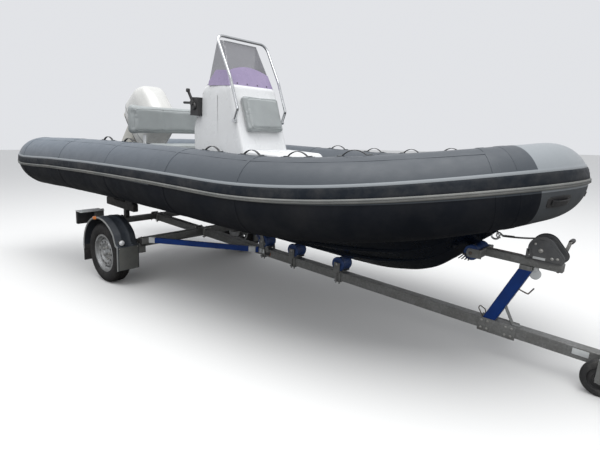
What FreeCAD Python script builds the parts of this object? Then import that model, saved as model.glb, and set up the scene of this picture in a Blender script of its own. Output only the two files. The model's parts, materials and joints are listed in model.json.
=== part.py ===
"""Inflatable boat with a rigid hull, parked on its road trailer.

The model is built level, with x forward from the road axle, y to port and z up from the
ground. Every sub-part then gets one common placement that sets the trailer nose down on
its jockey wheel and puts the middle of the whole over the origin.
"""
import FreeCAD, Part
import os
import re
from collections import namedtuple
from math import asin, atan2, cos, degrees, hypot, pi, radians, sin
from types import SimpleNamespace

import Sketcher

Vector = FreeCAD.Vector
Rotation = FreeCAD.Rotation
Placement = FreeCAD.Placement

# Driving sizes: alias, value in millimetres or degrees, what it is. A value that starts
# with = follows the sizes above it.
SIZES = (
    ("seat_gap", 0.3, "gap where a soft or curved piece lies on its seat"),
    ("tyre_radius", 287, "road tyre"),
    ("tyre_width", 155, "road tyre across its side walls"),
    ("tread_half", 45, "half of the flat of the tread"),
    ("wheel_half_track", 852, "middle of a road wheel from the middle of the trailer"),
    ("rim_radius", 182, "outer edge of the rim flange"),
    ("rim_width", 124, "rim over its flanges"),
    ("rim_wall", 5, "rolled steel of the rim"),
    ("bead_radius", 168, "rim where the tyre bead sits"),
    ("well_radius", 150, "rim at its well"),
    ("disc_dish", 46, "crest of the wheel disc, outward from the middle of the wheel"),
    ("disc_face", 30, "bolting face of the wheel disc"),
    ("vent_circle", 108, "circle of the holes in the wheel disc"),
    ("vent_radius", 12, "hole in the wheel disc"),
    ("vent_count", 12, "holes in the wheel disc"),
    ("drum_radius", 98, "hub with its drum"),
    ("drum_width", 54, "hub with its drum"),
    ("cap_radius", 24, "dust cap on the hub"),
    ("cap_length", 28, "dust cap on the hub"),
    ("stub_radius", 20, "stub shaft of the axle"),
    ("stub_reach", 110, "stub shaft outward from its arm"),
    ("bearing_gap", 0.5, "running gap round a shaft"),
    ("axle_ahead", 130, "axle tube ahead of the wheel centre"),
    ("axle_square", 70, "axle tube"),
    ("axle_half", 690, "half of the axle tube's length"),
    ("arm_width", 40, "trailing arm of the axle"),
    ("arm_big", 46, "rounded front end of the arm"),
    ("arm_small", 34, "rounded rear end of the arm"),
    ("spine_width", 72, "middle beam"),
    ("spine_height", 72, "middle beam"),
    ("spine_top", 477, "top of the middle beam when level"),
    ("spine_aft", 600, "rear end of the middle beam, behind the axle"),
    ("spine_fore", 4235, "front end of the middle beam"),
    ("cross_front", 330, "middle of the front cross member"),
    ("cross_rear", 535, "middle of the rear cross member, behind the axle"),
    ("cross_depth", 60, "cross member, fore and aft"),
    ("cross_height", 60, "cross member"),
    ("cross_half", 725, "end of a cross member"),
    ("fender_radius", 330, "inside of the wheel arch"),
    ("fender_wall", 5, "sheet of the fender"),
    ("fender_inner", 740, "inboard edge of the fender"),
    ("fender_outer", 950, "outboard edge of the fender"),
    ("fender_lip", 16, "turned lip on the outboard edge"),
    ("fender_front_angle", 36, "where the arch ends in front, above level"),
    ("skirt_ahead", 330, "front skirt ahead of the axle"),
    ("skirt_top", 392, "top of the front skirt"),
    ("skirt_bottom", 165, "bottom of the front skirt"),
    ("flap_bottom", 140, "bottom of the mud flap"),
    ("flap_top", 300, "top of the mud flap"),
    ("flap_wall", 6, "mud flap"),
    ("bracket_plate", 8, "steel plate of the brackets"),
    ("lamp_inner", 660, "inboard end of the rear lamp housing"),
    ("lamp_outer", 945, "outboard end of the rear lamp housing"),
    ("lamp_bottom", 455, "rear lamp housing"),
    ("lamp_top", 620, "rear lamp housing"),
    ("lamp_depth", 36, "rear lamp housing"),
    ("lens_depth", 12, "lens of the rear lamp"),
    ("front_lamp_radius", 26, "round lamp on the front of the fender"),
    ("front_lamp_length", 18, "round lamp on the front of the fender"),
    ("reflector_length", 62, "side reflector"),
    ("reflector_height", 26, "side reflector"),
    ("reflector_wall", 6, "side reflector"),
    ("reflector_x", 1360, "front end of the reflector on the middle beam"),
    ("brace_height", 50, "diagonal brace"),
    ("brace_wall", 26, "diagonal brace"),
    ("brace_aft", 375, "rear end of the diagonal brace"),
    ("brace_aft_y", 640, "rear end of the diagonal brace, from the middle"),
    ("brace_fore", 1222, "front end of the diagonal brace"),
    ("brace_top", 480, "top edge of the diagonal brace"),
    ("roller_radius", 56, "keel roller"),
    ("roller_length", 120, "keel roller"),
    ("roller_pin", 8, "pin of a keel roller"),
    ("roller_aft", 1275, "keel roller furthest aft"),
    ("roller_middle", 1641, "keel roller"),
    ("roller_fore", 2122, "keel roller furthest forward"),
    ("cheek_gap", 4, "keel roller to the cheek of its bracket"),
    ("cheek_length", 56, "cheek of a roller bracket, fore and aft"),
    ("clamp_bolt", 6, "radius of a clamp bolt"),
    ("bunk_y", 380, "middle of a side bunk"),
    ("bunk_width", 60, "side bunk"),
    ("bunk_aft", 930, "rear end of a side bunk, behind the axle"),
    ("bunk_fore", 340, "front end of a side bunk, behind the axle"),
    ("bunk_bottom", 565, "side bunk"),
    ("bunk_top", 650, "side bunk"),
    ("shoe_length", 150, "rubber shoe on a side bunk"),
    ("bunk_post", 50, "post under a side bunk"),
    ("post_foot", 3300, "foot of the winch post"),
    ("post_lean", 160, "winch post, forward from foot to top"),
    ("post_top", 848, "top of the winch post"),
    ("post_depth", 76, "winch post"),
    ("saddle_plate", 6, "saddle plates beside the winch post"),
    ("saddle_aft", "=post_foot - 75", "rear end of the saddle plates"),
    ("saddle_fore", "=post_foot + 140", "front end of the saddle plates"),
    ("saddle_top", 560, "top of the saddle plates"),
    ("arm_bottom", 875, "arm on the winch post"),
    ("arm_height", 50, "arm on the winch post"),
    ("arm_half", 25, "half width of the arm on the winch post"),
    ("arm_aft", "=post_foot - 95", "rear end of the arm on the winch post"),
    ("arm_fore", "=arm_aft + 449", "front end of the arm on the winch post"),
    ("snub_x", "=arm_aft - 53", "bow roller"),
    ("snub_z", 894, "bow roller"),
    ("snub_half", 100, "half length of the bow roller"),
    ("snub_end", 48, "bow roller at its ends"),
    ("snub_waist", 25, "bow roller in the middle"),
    ("snub_cheek", 7, "cheek of the bow roller's fork"),
    ("winch_x", "=arm_fore - 114", "drum of the winch"),
    ("winch_z", 992, "drum of the winch"),
    ("winch_radius", 88, "side plate of the winch"),
    ("winch_half", 46, "inside of a winch side plate"),
    ("winch_plate", 5, "side plate of the winch"),
    ("drum_core", 58, "winch drum with its wound strap"),
    ("strap_width", 48, "winch strap"),
    ("strap_wall", 4, "winch strap"),
    ("head_length", 265, "coupling head ahead of the middle beam"),
    ("head_half", 44, "half width of the coupling head"),
    ("head_bottom", 398, "coupling head"),
    ("head_top", 492, "coupling head"),
    ("ball_radius", 25.5, "socket of the coupling"),
    ("ball_back", 62, "socket behind the front of the coupling head"),
    ("jockey_x", 4002, "stem of the jockey wheel"),
    ("jockey_y", 101, "stem of the jockey wheel, to starboard"),
    ("jockey_trail", 60, "jockey wheel behind its stem"),
    ("jockey_z", 371, "middle of the jockey wheel when level"),
    ("jockey_radius", 101, "jockey wheel"),
    ("jockey_width", 56, "jockey wheel"),
    ("jockey_pin", 6, "axle pin of the jockey wheel"),
    ("jockey_fork_gap", 4, "jockey wheel to its fork"),
    ("jockey_fork_wall", 5, "fork of the jockey wheel"),
    ("jockey_outer", 30, "outer tube of the jockey wheel"),
    ("jockey_outer_wall", 4, "outer tube of the jockey wheel"),
    ("jockey_outer_bottom", 492, "outer tube of the jockey wheel"),
    ("jockey_outer_top", 905, "outer tube of the jockey wheel"),
    ("jockey_inner_top", 860, "inner tube of the jockey wheel"),
    ("jockey_clamp_height", 60, "clamp of the jockey wheel"),
    ("jockey_crank", 110, "crank of the jockey wheel"),
    ("tube_diameter", 528, "buoyancy tube"),
    ("tube_half_spacing", 775, "middle of a side tube from the middle of the boat"),
    ("nose_diameter", 432, "buoyancy tube at the bow"),
    ("bow_start", 1668, "where the side tube starts to turn in"),
    ("bow_reach", 1798, "turned part of the tube, to the middle of the bow"),
    ("bow_start_height", 1120, "middle of the tube where the turn starts"),
    ("bow_sheer", 27, "rise of the tube in the turn at the straight part's slope"),
    ("bow_lift", 234, "further rise of the tube in the turn"),
    ("rail_angle_aft", -9.3, "rub rail below the tube's side at the stern"),
    ("rail_angle_bow", 3, "rub rail above the tube's side at the bow"),
    ("rail_width", 38, "rub rail"),
    ("rail_wall", 14, "rub rail"),
    ("strake_width", 66, "wear strake above the rub rail"),
    ("strake_wall", 7, "wear strake above the rub rail"),
    ("transom_aft", 800, "rear face of the transom, behind the axle"),
    ("transom_wall", 48, "transom"),
    ("transom_top", 1195, "transom"),
    ("deck_top", 930, "deck"),
    ("deck_wall", 20, "deck"),
    ("deck_fore", 2140, "front end of the flat deck"),
    ("step_aft", 1150, "rear end of the stern steps, behind the axle"),
    ("step_inner", 310, "inboard side of a stern step"),
    ("step_bottom", 820, "stern step"),
    ("console_half", 275, "half width of the console"),
    ("console_wall", 6, "moulding of the console"),
    ("undercut", 60, "console side tucked in at its rear foot"),
    ("front_seat_top", 1364, "seat in front of the console"),
    ("front_seat_fore", 1660, "seat in front of the console"),
    ("pad_half", 215, "half width of the cushion on the console"),
    ("pad_bottom", 1500, "cushion on the console"),
    ("pad_top", 1800, "cushion on the console"),
    ("pad_wall", 68, "cushion on the console"),
    ("screen_wall", 5, "windscreen"),
    ("screen_top", 2267, "windscreen"),
    ("mask_top", 2063, "coloured band at the foot of the windscreen"),
    ("hoop_radius", 12.5, "hoop rail"),
    ("hoop_half", 292, "hoop rail at the side of the console"),
    ("hoop_top", 2296, "hoop rail"),
    ("hoop_bend", 70, "bend radius of the hoop rail at its corners"),
    ("helm_radius", 165, "steering wheel"),
    ("helm_grip", 14, "rim of the steering wheel"),
    ("helm_reach", 95, "steering wheel out from the dash"),
    ("helm_shaft", 14, "shaft of the steering wheel"),
    ("throttle_x", 545, "throttle box, rear end"),
    ("throttle_length", 110, "throttle box"),
    ("throttle_bottom", 1620, "throttle box"),
    ("throttle_top", 1780, "throttle box"),
    ("throttle_width", 50, "throttle box out from the console"),
    ("bench_aft", 200, "rear face of the bench, behind the axle"),
    ("bench_fore", 230, "front face of the bench"),
    ("bench_half", 400, "half width of the bench"),
    ("bench_top", 1260, "top of the bench box"),
    ("bench_wall", 8, "moulding of the bench box"),
    ("bench_pad", 60, "cushion of the bench"),
    ("back_half", 550, "half width of the backrest"),
    ("back_aft", 222, "rear face of the backrest, behind the axle"),
    ("back_fore", 92, "front face of the backrest, behind the axle"),
    ("back_bottom", 1397, "backrest"),
    ("back_top", 1695, "backrest"),
    ("back_round", 50, "rounding of the backrest"),
    ("back_post", 16, "post of the backrest"),
    ("back_post_y", 370, "post of the backrest"),
    ("loop_radius", 7, "grab loop"),
    ("loop_span", 160, "grab loop"),
    ("loop_rise", 34, "grab loop above the tube"),
    ("loop_root", 30, "end of a grab loop below the tube's crest, before it is seated"),
    ("loop_bend", 40, "bend radius of a grab loop"),
    ("eye_radius", 6, "bow eye"),
    ("eye_bend", 24, "bow eye"),
    ("eye_x", 3252, "bow eye, where it meets the stem"),
    ("eye_z", 1014, "bow eye"),
    ("pivot_above", 45, "tilt axis of the outboard above the transom"),
    ("pivot_radius", 16, "tilt tube of the outboard"),
    ("outboard_tilt", 49, "outboard as parked, degrees up from running"),
    ("clamp_inner", 95, "inside of a transom bracket"),
    ("clamp_wall", 14, "transom bracket"),
    ("swivel_back", 75, "steering axis of the outboard behind its tilt axis"),
    ("swivel_radius", 36, "steering housing of the outboard"),
    ("kingpin_radius", 18, "steering shaft of the outboard"),
    ("swivel_top", 35, "steering housing below the tilt axis"),
    ("swivel_bottom", 320, "steering housing below the tilt axis"),
    ("yoke_gap", 5, "yoke to the steering housing"),
    ("pan_bottom", 62, "tray under the cowl, above the tilt axis"),
    ("cowl_wall", 6, "outboard cowl"),
    ("cowl_half", 188, "half width of the outboard cowl"),
    ("cowl_bottom", 100, "outboard cowl above the tilt axis"),
    ("cowl_top", 612, "outboard cowl above the tilt axis"),
    ("plate_below", 560, "anti-ventilation plate below the tilt axis"),
    ("shaft_below", 750, "propeller shaft below the tilt axis"),
    ("torpedo_radius", 48, "gear housing of the outboard"),
    ("propeller_radius", 172, "propeller"),
    ("propeller_hub", 42, "propeller hub"),
    ("propeller_length", 96, "propeller hub"),
    ("propeller_back", 268, "front of the propeller hub behind the tilt axis"),
    ("blade_count", 3, "propeller blades"),
    ("blade_wall", 7, "propeller blade at its root"),
)

# Side tube from its tip to the start of the turn. Columns: along, height of the tube's
# middle, share of the tube's diameter.
SIDE_STATIONS = (
    (-2054, 1003, 0.28),
    (-2028, 1004, 0.50),
    (-1950, 1005, 0.66),
    (-1820, 1005, 0.86),
    (-1700, 1006, 0.97),
    (-1589, 1006, 1.00),
    (-854, 1047, 1.00),
    (-55, 1081, 1.00),
    (946, 1109, 1.00),
)
# Turned part of the tube: degrees round the bow from the side. The nose piece starts at
# NOSE_TURN.
BOW_TURNS = (0, 12, 25, 38, 50, 61, 72, 82, 90)
NOSE_TURN = 61
# Exponents that make the turn a little fuller than an ellipse, along and across.
BOW_FULLNESS = (0.880, 0.914)

# Hull sections. Columns: along, keel height, chine from the middle, chine height,
# topside edge from the middle, topside edge height, top from the middle, top height.
HULL_STATIONS = (
    (-800, 600, 548, 806, 655, 850, 648, 910),
    (-55, 600, 550, 812, 660, 882, 652, 910),
    (946, 600, 550, 815, 664, 898, 660, 910),
    (1700, 600, 548, 826, 672, 902, 668, 910),
    (2150, 602, 542, 862, 690, 900, 698, 910),
    (2450, 611, 528, 905, 600, 975, 600, 1080),
    (2730, 654, 486, 952, 540, 1026, 540, 1120),
    (2892, 713, 425, 990, 490, 1059, 490, 1150),
    (3026, 815, 335, 1035, 420, 1094, 420, 1180),
    (3120, 915, 250, 1075, 330, 1130, 330, 1210),
    (3240, 1020, 130, 1120, 200, 1170, 200, 1240),
    (3390, 1190, 30, 1225, 60, 1240, 60, 1270),
)

# Console seen from the side, from its rear foot round to its front foot.
CONSOLE_OUTLINE = (
    (560, 930), (520, 1500), (585, 1690), (669, 1873), (859, 2013), (1030, 1886),
    (1214, 1386), (1382, 930),
)
# Windscreen seen from above: along and from the middle, at its foot and at its top.
SCREEN_FOOT = ((742, 268), (1003, 214))
SCREEN_HEAD = ((792, 228), (838, 188))
SCREEN_FOOT_HEIGHT = 1890

# Hoop rail at the side: along and height, from its foot to the top corner.
HOOP_SIDE = ((1112, 1600), (1150, 1700), (1046, 1955), (855, 2296))

# Places of the grab loops along each tube.
LOOP_PLACES = (-100, 275, 1440, 1860, 2260, 2650)

# Outboard cowl, running position. Columns: share of its height, front end, rear end,
# share of its half width, corner rounding.
COWL_SECTIONS = (
    (0.00, 108, -408, 0.84, 70),
    (0.26, 152, -446, 1.00, 90),
    (0.66, 132, -440, 0.97, 90),
    (0.88, 78, -396, 0.80, 80),
    (1.00, -8, -300, 0.50, 60),
)

TURN_TO = {
    "x": Rotation(Vector(0, 1, 0), 90),
    "y": Rotation(Vector(1, 0, 0), -90),
    "z": Rotation(),
}

doc = FreeCAD.newDocument("boat_on_trailer")
sheet = doc.addObject("Spreadsheet::Sheet", "Sizes")
for row, (alias, value, meaning) in enumerate(SIZES, start=1):
    sheet.set(f"A{row}", meaning)
    sheet.set(f"B{row}", str(value))
    sheet.setAlias(f"B{row}", alias)
doc.recompute()
s = SimpleNamespace(**{alias: float(sheet.get(alias)) for alias, _, _ in SIZES})
NAMES = {alias for alias, _, _ in SIZES}

SUB_PARTS = []


def bind(thing, prop, formula):
    """Tie a property to a formula written in the sheet's names."""
    text = re.sub(r"[a-z][a-z_0-9]*",
                  lambda word: "Sizes." + word.group() if word.group() in NAMES else word.group(),
                  formula)
    thing.setExpression(prop, text)


def sub_part(label, *pieces, attitude=None):
    """Name one sub-part; its pieces are joined where they touch."""
    if len(pieces) == 1:
        whole = doc.addObject("Part::Compound", label)
        whole.Links = list(pieces)
    else:
        whole = doc.addObject("Part::MultiFuse", label)
        whole.Shapes = list(pieces)
        whole.Refine = True
    whole.Label = label
    SUB_PARTS.append((whole, attitude or Placement()))
    return whole


def box(name, x, y, z):
    """Block between low and high formulas on each axis."""
    block = doc.addObject("Part::Box", name)
    for prop, axis, (low, high) in (("Length", "x", x), ("Width", "y", y), ("Height", "z", z)):
        bind(block, prop, f"({high}) - ({low})")
        bind(block, f"Placement.Base.{axis}", low)
    return block


def rod(name, along, ends, at, radius):
    """Round bar along one axis, between two ends, at its other two coordinates."""
    bar = doc.addObject("Part::Cylinder", name)
    bar.Placement = Placement(Vector(), TURN_TO[along])
    bind(bar, "Radius", radius)
    bind(bar, "Height", f"({ends[1]}) - ({ends[0]})")
    bind(bar, f"Placement.Base.{along}", ends[0])
    for axis, formula in zip([axis for axis in "xyz" if axis != along], at):
        bind(bar, f"Placement.Base.{axis}", formula)
    return bar


def join(name, *pieces):
    """Union of pieces."""
    whole = doc.addObject("Part::MultiFuse", name)
    whole.Shapes = list(pieces)
    whole.Refine = True
    return whole


def cut(name, base, *tools):
    """Base without the tools."""
    tool = tools[0]
    if len(tools) > 1:
        tool = doc.addObject("Part::Compound", name + "_tools")
        tool.Links = list(tools)
    rest = doc.addObject("Part::Cut", name)
    rest.Base = base
    rest.Tool = tool
    return rest


def mirrored(piece):
    """The same piece on the other side of the middle."""
    image = doc.addObject("Part::Mirroring", piece.Name + "_mirrored")
    image.Source = piece
    image.Normal = Vector(0, 1, 0)
    return image


def feature(name, shape):
    """A piece whose shape is worked out in code."""
    piece = doc.addObject("Part::Feature", name)
    piece.Shape = shape
    return piece


def outline_sketch(body, name, plane, points):
    """Closed outline of straight sides; each corner is tied to two formulas."""
    sketch = body.newObject("Sketcher::SketchObject", name)
    origin_plane = next(f for f in body.Origin.OriginFeatures if f.Role == plane + "_Plane")
    sketch.AttachmentSupport = [(origin_plane, "")]
    sketch.MapMode = "FlatFace"
    count = len(points)
    start = [Vector(100 * cos(2 * pi * k / count), 100 * sin(2 * pi * k / count), 0)
             for k in range(count)]
    sketch.addGeometry([Part.LineSegment(start[k], start[(k + 1) % count])
                        for k in range(count)], False)
    sketch.addConstraint([Sketcher.Constraint("Coincident", k, 2, (k + 1) % count, 1)
                          for k in range(count)])
    for k, corner in enumerate(points):
        for kind, first, formula in zip(("DistanceX", "DistanceY"), start[k][:2], corner):
            index = sketch.addConstraint(Sketcher.Constraint(kind, -1, 1, k, 1, first))
            bind(sketch, f"Constraints[{index}]", formula)
    return sketch


def plate(name, plane, points, low, high, rounding=None):
    """Outline in a plane, padded between two formulas across it."""
    body = doc.addObject("PartDesign::Body", name)
    sketch = outline_sketch(body, name + "_outline", plane, points)
    bind(sketch, "AttachmentOffset.Base.z", f"-({high})" if plane == "XZ" else low)
    pad = body.newObject("PartDesign::Pad", name + "_pad")
    pad.Profile = sketch
    bind(pad, "Length", f"({high}) - ({low})")
    if rounding:
        doc.recompute()
        fillet = body.newObject("PartDesign::Fillet", name + "_rounding")
        fillet.Base = (pad, [""])
        fillet.UseAllEdges = True
        bind(fillet, "Radius", rounding)
    return body


def turned(name, points, centre=None):
    """Outline of (across, radius) corners, turned about the y axis through a centre (x, y, z)."""
    body = doc.addObject("PartDesign::Body", name)
    sketch = outline_sketch(body, name + "_outline", "YZ", points)
    turning = body.newObject("PartDesign::Revolution", name + "_turning")
    turning.Profile = sketch
    turning.ReferenceAxis = (sketch, ["H_Axis"])
    turning.Angle = 360
    for axis, formula in zip("xyz", centre or ()):
        bind(body, f"Placement.Base.{axis}", formula)
    return body


def rounded_wire(front, rear, half, height, corner):
    """Level outline with rounded corners, between a front and a rear end."""
    corners = [(front, half), (rear, half), (rear, -half), (front, -half)]
    inset = [(front - corner, half - corner), (rear + corner, half - corner),
             (rear + corner, -half + corner), (front - corner, -half + corner)]
    edges = []
    for k, (middle, start_angle) in enumerate(zip(inset, (0, 90, 180, 270))):
        arc = Part.ArcOfCircle(
            Part.Circle(Vector(middle[0], middle[1], height), Vector(0, 0, 1), corner),
            radians(start_angle), radians(start_angle + 90)).toShape()
        edges.append(arc)
    sides = []
    for k in range(4):
        sides.append(edges[k])
        sides.append(Part.makeLine(edges[k].Vertexes[-1].Point, edges[(k + 1) % 4].Vertexes[0].Point))
    return Part.Wire(sides)


def bar_along(points, radius, bends):
    """Round bar along straight runs joined by bends of the given radii."""
    pieces = []
    last = points[0]
    for bend, here, ahead in zip(bends, points[1:], points[2:]):
        forward = (here - last).normalize()
        onward = (ahead - here).normalize()
        turn = forward.getAngle(onward)
        reach = bend * sin(turn / 2) / cos(turn / 2)
        start = here - forward * reach
        axle_way = forward.cross(onward).normalize()
        disc = Part.Face(Part.Wire(Part.makeCircle(radius, start, forward)))
        centre = start + axle_way.cross(forward) * bend
        pieces.append(Part.makeCylinder(radius, (start - last).Length, last, forward))
        pieces.append(disc.revolve(centre, axle_way, degrees(turn)))
        last = here + onward * reach
    tail = points[-1] - last
    pieces.append(Part.makeCylinder(radius, tail.Length, last, tail))
    return pieces[0].multiFuse(pieces[1:]).removeSplitter()


# Buoyancy tubes
Station = namedtuple("Station", "middle radius along out up")


def turn_point(turn):
    """Middle and radius of the starboard tube at an angle round the bow."""
    share = sin(radians(turn)) ** BOW_FULLNESS[0]
    across = max(cos(radians(turn)), 0.0) ** BOW_FULLNESS[1]
    if turn == 90:
        across = 0.0
    middle = Vector(s.bow_start + s.bow_reach * share,
                    -s.tube_half_spacing * across,
                    s.bow_start_height + s.bow_sheer * share + s.bow_lift * share ** 2)
    diameter = s.tube_diameter + (s.nose_diameter - s.tube_diameter) * share ** 2.5
    return middle, diameter / 2


def tube_stations():
    """Sections of the tube from the starboard tip round the bow to the port tip."""
    half = [(Vector(along, -s.tube_half_spacing, height), share * s.tube_diameter / 2)
            for along, height, share in SIDE_STATIONS]
    half += [turn_point(turn) for turn in BOW_TURNS]
    port = [(Vector(middle.x, -middle.y, middle.z), radius) for middle, radius in half[-2::-1]]
    whole = half + port
    stations = []
    for k, (middle, radius) in enumerate(whole):
        before = middle - whole[k - 1][0] if k else whole[1][0] - middle
        after = whole[k + 1][0] - middle if k + 1 < len(whole) else before
        along = (Vector(before).normalize() + Vector(after).normalize()).normalize()
        out = along.cross(Vector(0, 0, 1)).normalize()
        stations.append(Station(middle, radius, along, out, out.cross(along)))
    return stations


STATIONS = tube_stations()
SEAM = len(SIDE_STATIONS) + BOW_TURNS.index(NOSE_TURN)


def ring(station, grow=0.0):
    """Round section of the tube."""
    circle = Part.makeCircle(station.radius + grow)
    circle.Placement = Placement(
        station.middle, Rotation(station.out * -1, station.up, station.along, "ZXY"))
    return Part.Wire(circle)


def band_section(station, start, width, wall):
    """Section of a band on the outside of the tube, from a height angle upward."""
    inner = station.radius + s.seat_gap
    outer = inner + wall
    spread = degrees(width / station.radius)

    def at(radius, share):
        angle = radians(start + spread * share)
        return station.middle + (station.out * cos(angle) + station.up * sin(angle)) * radius

    return Part.Wire([
        Part.Arc(at(inner, 0), at(inner, 0.5), at(inner, 1)).toShape(),
        Part.makeLine(at(inner, 1), at(outer, 1)),
        Part.Arc(at(outer, 1), at(outer, 0.5), at(outer, 0)).toShape(),
        Part.makeLine(at(outer, 0), at(inner, 0)),
    ])


def rail_angle(station):
    """Angle of the rub rail's middle, from the tube's side."""
    tip = SIDE_STATIONS[0][0]
    share = (station.middle.x - tip) / (s.bow_start + s.bow_reach - tip)
    return s.rail_angle_aft + (s.rail_angle_bow - s.rail_angle_aft) * share


def tubes():
    """Side tubes and the lighter nose piece, with rail and strake round them."""
    last = len(STATIONS) - 1 - SEAM
    pieces = (
        ("tube_starboard", STATIONS[:SEAM + 1]),
        ("tube_bow", STATIONS[SEAM:last + 1]),
        ("tube_port", STATIONS[last:]),
    )
    made = []
    for label, stations in pieces:
        loft = Part.makeLoft([ring(station) for station in stations], True, True)
        made.append(feature(label + "_skin", loft))
        sub_part(label, made[-1])
    rail = []
    strake = []
    for station in STATIONS[1:-1]:
        foot = rail_angle(station) - degrees(s.rail_width / station.radius) / 2
        rail.append(band_section(station, foot, s.rail_width, s.rail_wall))
        over = foot + degrees((s.rail_width + s.seat_gap) / station.radius)
        strake.append(band_section(station, over, s.strake_width, s.strake_wall))
    sub_part("rub_rail", feature("rub_rail_strip", Part.makeLoft(rail, True, True)))
    sub_part("rub_strake", feature("rub_strake_strip", Part.makeLoft(strake, True, True)))
    return made


def tube_place(along):
    """Section of the starboard tube at a distance along, between stations."""
    for first, second in zip(STATIONS, STATIONS[1:]):
        if first.middle.x <= along <= second.middle.x:
            share = (along - first.middle.x) / (second.middle.x - first.middle.x)
            middle = first.middle + (second.middle - first.middle) * share
            radius = first.radius + (second.radius - first.radius) * share
            direction = (second.middle - first.middle).normalize()
            out = direction.cross(Vector(0, 0, 1)).normalize()
            return Station(middle, radius, direction, out, out.cross(direction))
    raise ValueError(along)


# Boat
def hull(tube_skins):
    """V bottom under the deck, seated against the tubes."""
    wires = []
    for along, keel, chine_y, chine, side_y, side, top_y, top in HULL_STATIONS:
        half = [(chine_y, chine), (side_y, side), (top_y, top)]
        corners = [(0, keel)] + half + [(-y, z) for y, z in reversed(half)]
        points = [Vector(along, y, z) for y, z in corners]
        wires.append(Part.makePolygon(points + points[:1]))
    raw = feature("hull_form", Part.makeLoft(wires, True, True))
    body = cut("hull_seated", raw, *tube_skins)
    sub_part("hull", body)
    return body


def deck_and_transom(tube_skins, hull_body):
    """Flat deck, transom and stern steps."""
    deck = box("deck_sheet", ("transom_wall - transom_aft", "deck_fore"),
               ("-tube_half_spacing", "tube_half_spacing"), ("deck_top - deck_wall", "deck_top"))
    sub_part("deck", cut("deck_seated", deck, *tube_skins, hull_body))
    board = box("transom_board", ("-transom_aft", "transom_wall - transom_aft"),
                ("-tube_half_spacing", "tube_half_spacing"),
                ("deck_top - deck_wall", "transom_top"))
    sub_part("transom", cut("transom_seated", board, *tube_skins))
    step = box("stern_step_block", ("-step_aft", "-transom_aft"),
               ("step_inner", "tube_half_spacing"), ("step_bottom", "deck_top - deck_wall"))
    step_seated = cut("stern_step_seated", step, *tube_skins)
    sub_part("stern_steps", step_seated, mirrored(step_seated))


def console_form(inset):
    """Console moulding shrunk by an inset, its rear feet tucked in."""
    corners = [Vector(x, 0, z) for x, z in CONSOLE_OUTLINE]
    face = Part.Face(Part.makePolygon(corners + corners[:1]))
    if inset:
        face = Part.Face(face.OuterWire.makeOffset2D(-inset))
    half = s.console_half - inset
    form = face.extrude(Vector(0, 2 * half, 0))
    form.translate(Vector(0, -half, 0))
    for side in (-1, 1):
        wedge = Part.makePolygon([
            Vector(762, side * half, 1523), Vector(1127, side * half, 1364),
            Vector(1382, side * half, 930), Vector(480, side * half, 900),
            Vector(480, side * half, 1523), Vector(762, side * half, 1523)])
        outer = Part.Face(wedge).extrude(Vector(0, side * 100, 0))
        hinge = Vector(1127, side * half, 1364)
        axis = Vector(762 - 1127, 0, 1523 - 1364).normalize()
        lean = degrees(atan2(s.undercut, 560))
        outer.rotate(hinge, axis, lean * side)
        form = form.cut(outer)
    return form


def console():
    """Hollow console with the seat in front of it."""
    outer = console_form(0)
    inner = console_form(s.console_wall)
    below = Part.makeBox(4000, 2000, 400, Vector(0, -1000, s.deck_top - 400))
    stretched = inner.copy()
    stretched.translate(Vector(0, 0, -2 * s.console_wall))
    hollow = inner.fuse(stretched)
    shell = outer.cut(hollow).cut(below)
    moulding = feature("console_moulding", shell)
    seat = plate("front_seat_moulding", "XZ",
                 (("1382", "deck_top"), ("front_seat_fore", "deck_top"),
                  ("front_seat_fore", "front_seat_top - 40"),
                  ("front_seat_fore - 40", "front_seat_top"),
                  ("1214 + 168 * (1386 - front_seat_top) / 456", "front_seat_top")),
                 "-console_half", "console_half")
    sub_part("console", moulding)
    sub_part("front_seat", seat)
    lean = degrees(atan2(1214 - 1030, 1886 - 1386))
    height = (s.pad_top - s.pad_bottom) / cos(radians(lean))
    pad = Part.makeBox(s.pad_wall, 2 * s.pad_half, height)
    pad = pad.makeFillet(26, pad.Edges)
    foot_x = 1214 - (s.pad_bottom - 1386) * (1214 - 1030) / (1886 - 1386)
    pad.Placement = Placement(Vector(foot_x + s.seat_gap, -s.pad_half, s.pad_bottom),
                              Rotation(Vector(0, 1, 0), -lean))
    sub_part("console_cushion", feature("console_cushion_pad", pad))


def screen_wire(share, wall):
    """Level outline of the windscreen's sheet at a share of its height."""
    def corner(k, grow):
        x = SCREEN_FOOT[k][0] + (SCREEN_HEAD[k][0] - SCREEN_FOOT[k][0]) * share
        y = SCREEN_FOOT[k][1] + (SCREEN_HEAD[k][1] - SCREEN_FOOT[k][1]) * share
        return x + grow * (k == 1), y + grow

    height = SCREEN_FOOT_HEIGHT + (s.screen_top - SCREEN_FOOT_HEIGHT) * share
    outer = [corner(0, 0), corner(1, 0)]
    inner = [corner(1, -wall), corner(0, -wall)]
    half = outer + [(x, -y) for x, y in reversed(outer)]
    back = [(x, -y) for x, y in reversed(inner)] + inner
    points = [Vector(x, y, height) for x, y in half + back]
    return Part.makePolygon(points + points[:1])


def screen():
    """Windscreen with side wings and the coloured band at its foot."""
    split = (s.mask_top - SCREEN_FOOT_HEIGHT) / (s.screen_top - SCREEN_FOOT_HEIGHT)
    for label, low, high in (("screen_band", 0, split), ("screen", split, 1)):
        wires = [screen_wire(share, s.screen_wall) for share in (low, high)]
        sheet_form = Part.makeLoft(wires, True, True)
        if low == 0:
            sheet_form = sheet_form.cut(console_form(0))
        sub_part(label, feature(label + "_sheet", sheet_form))


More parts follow.
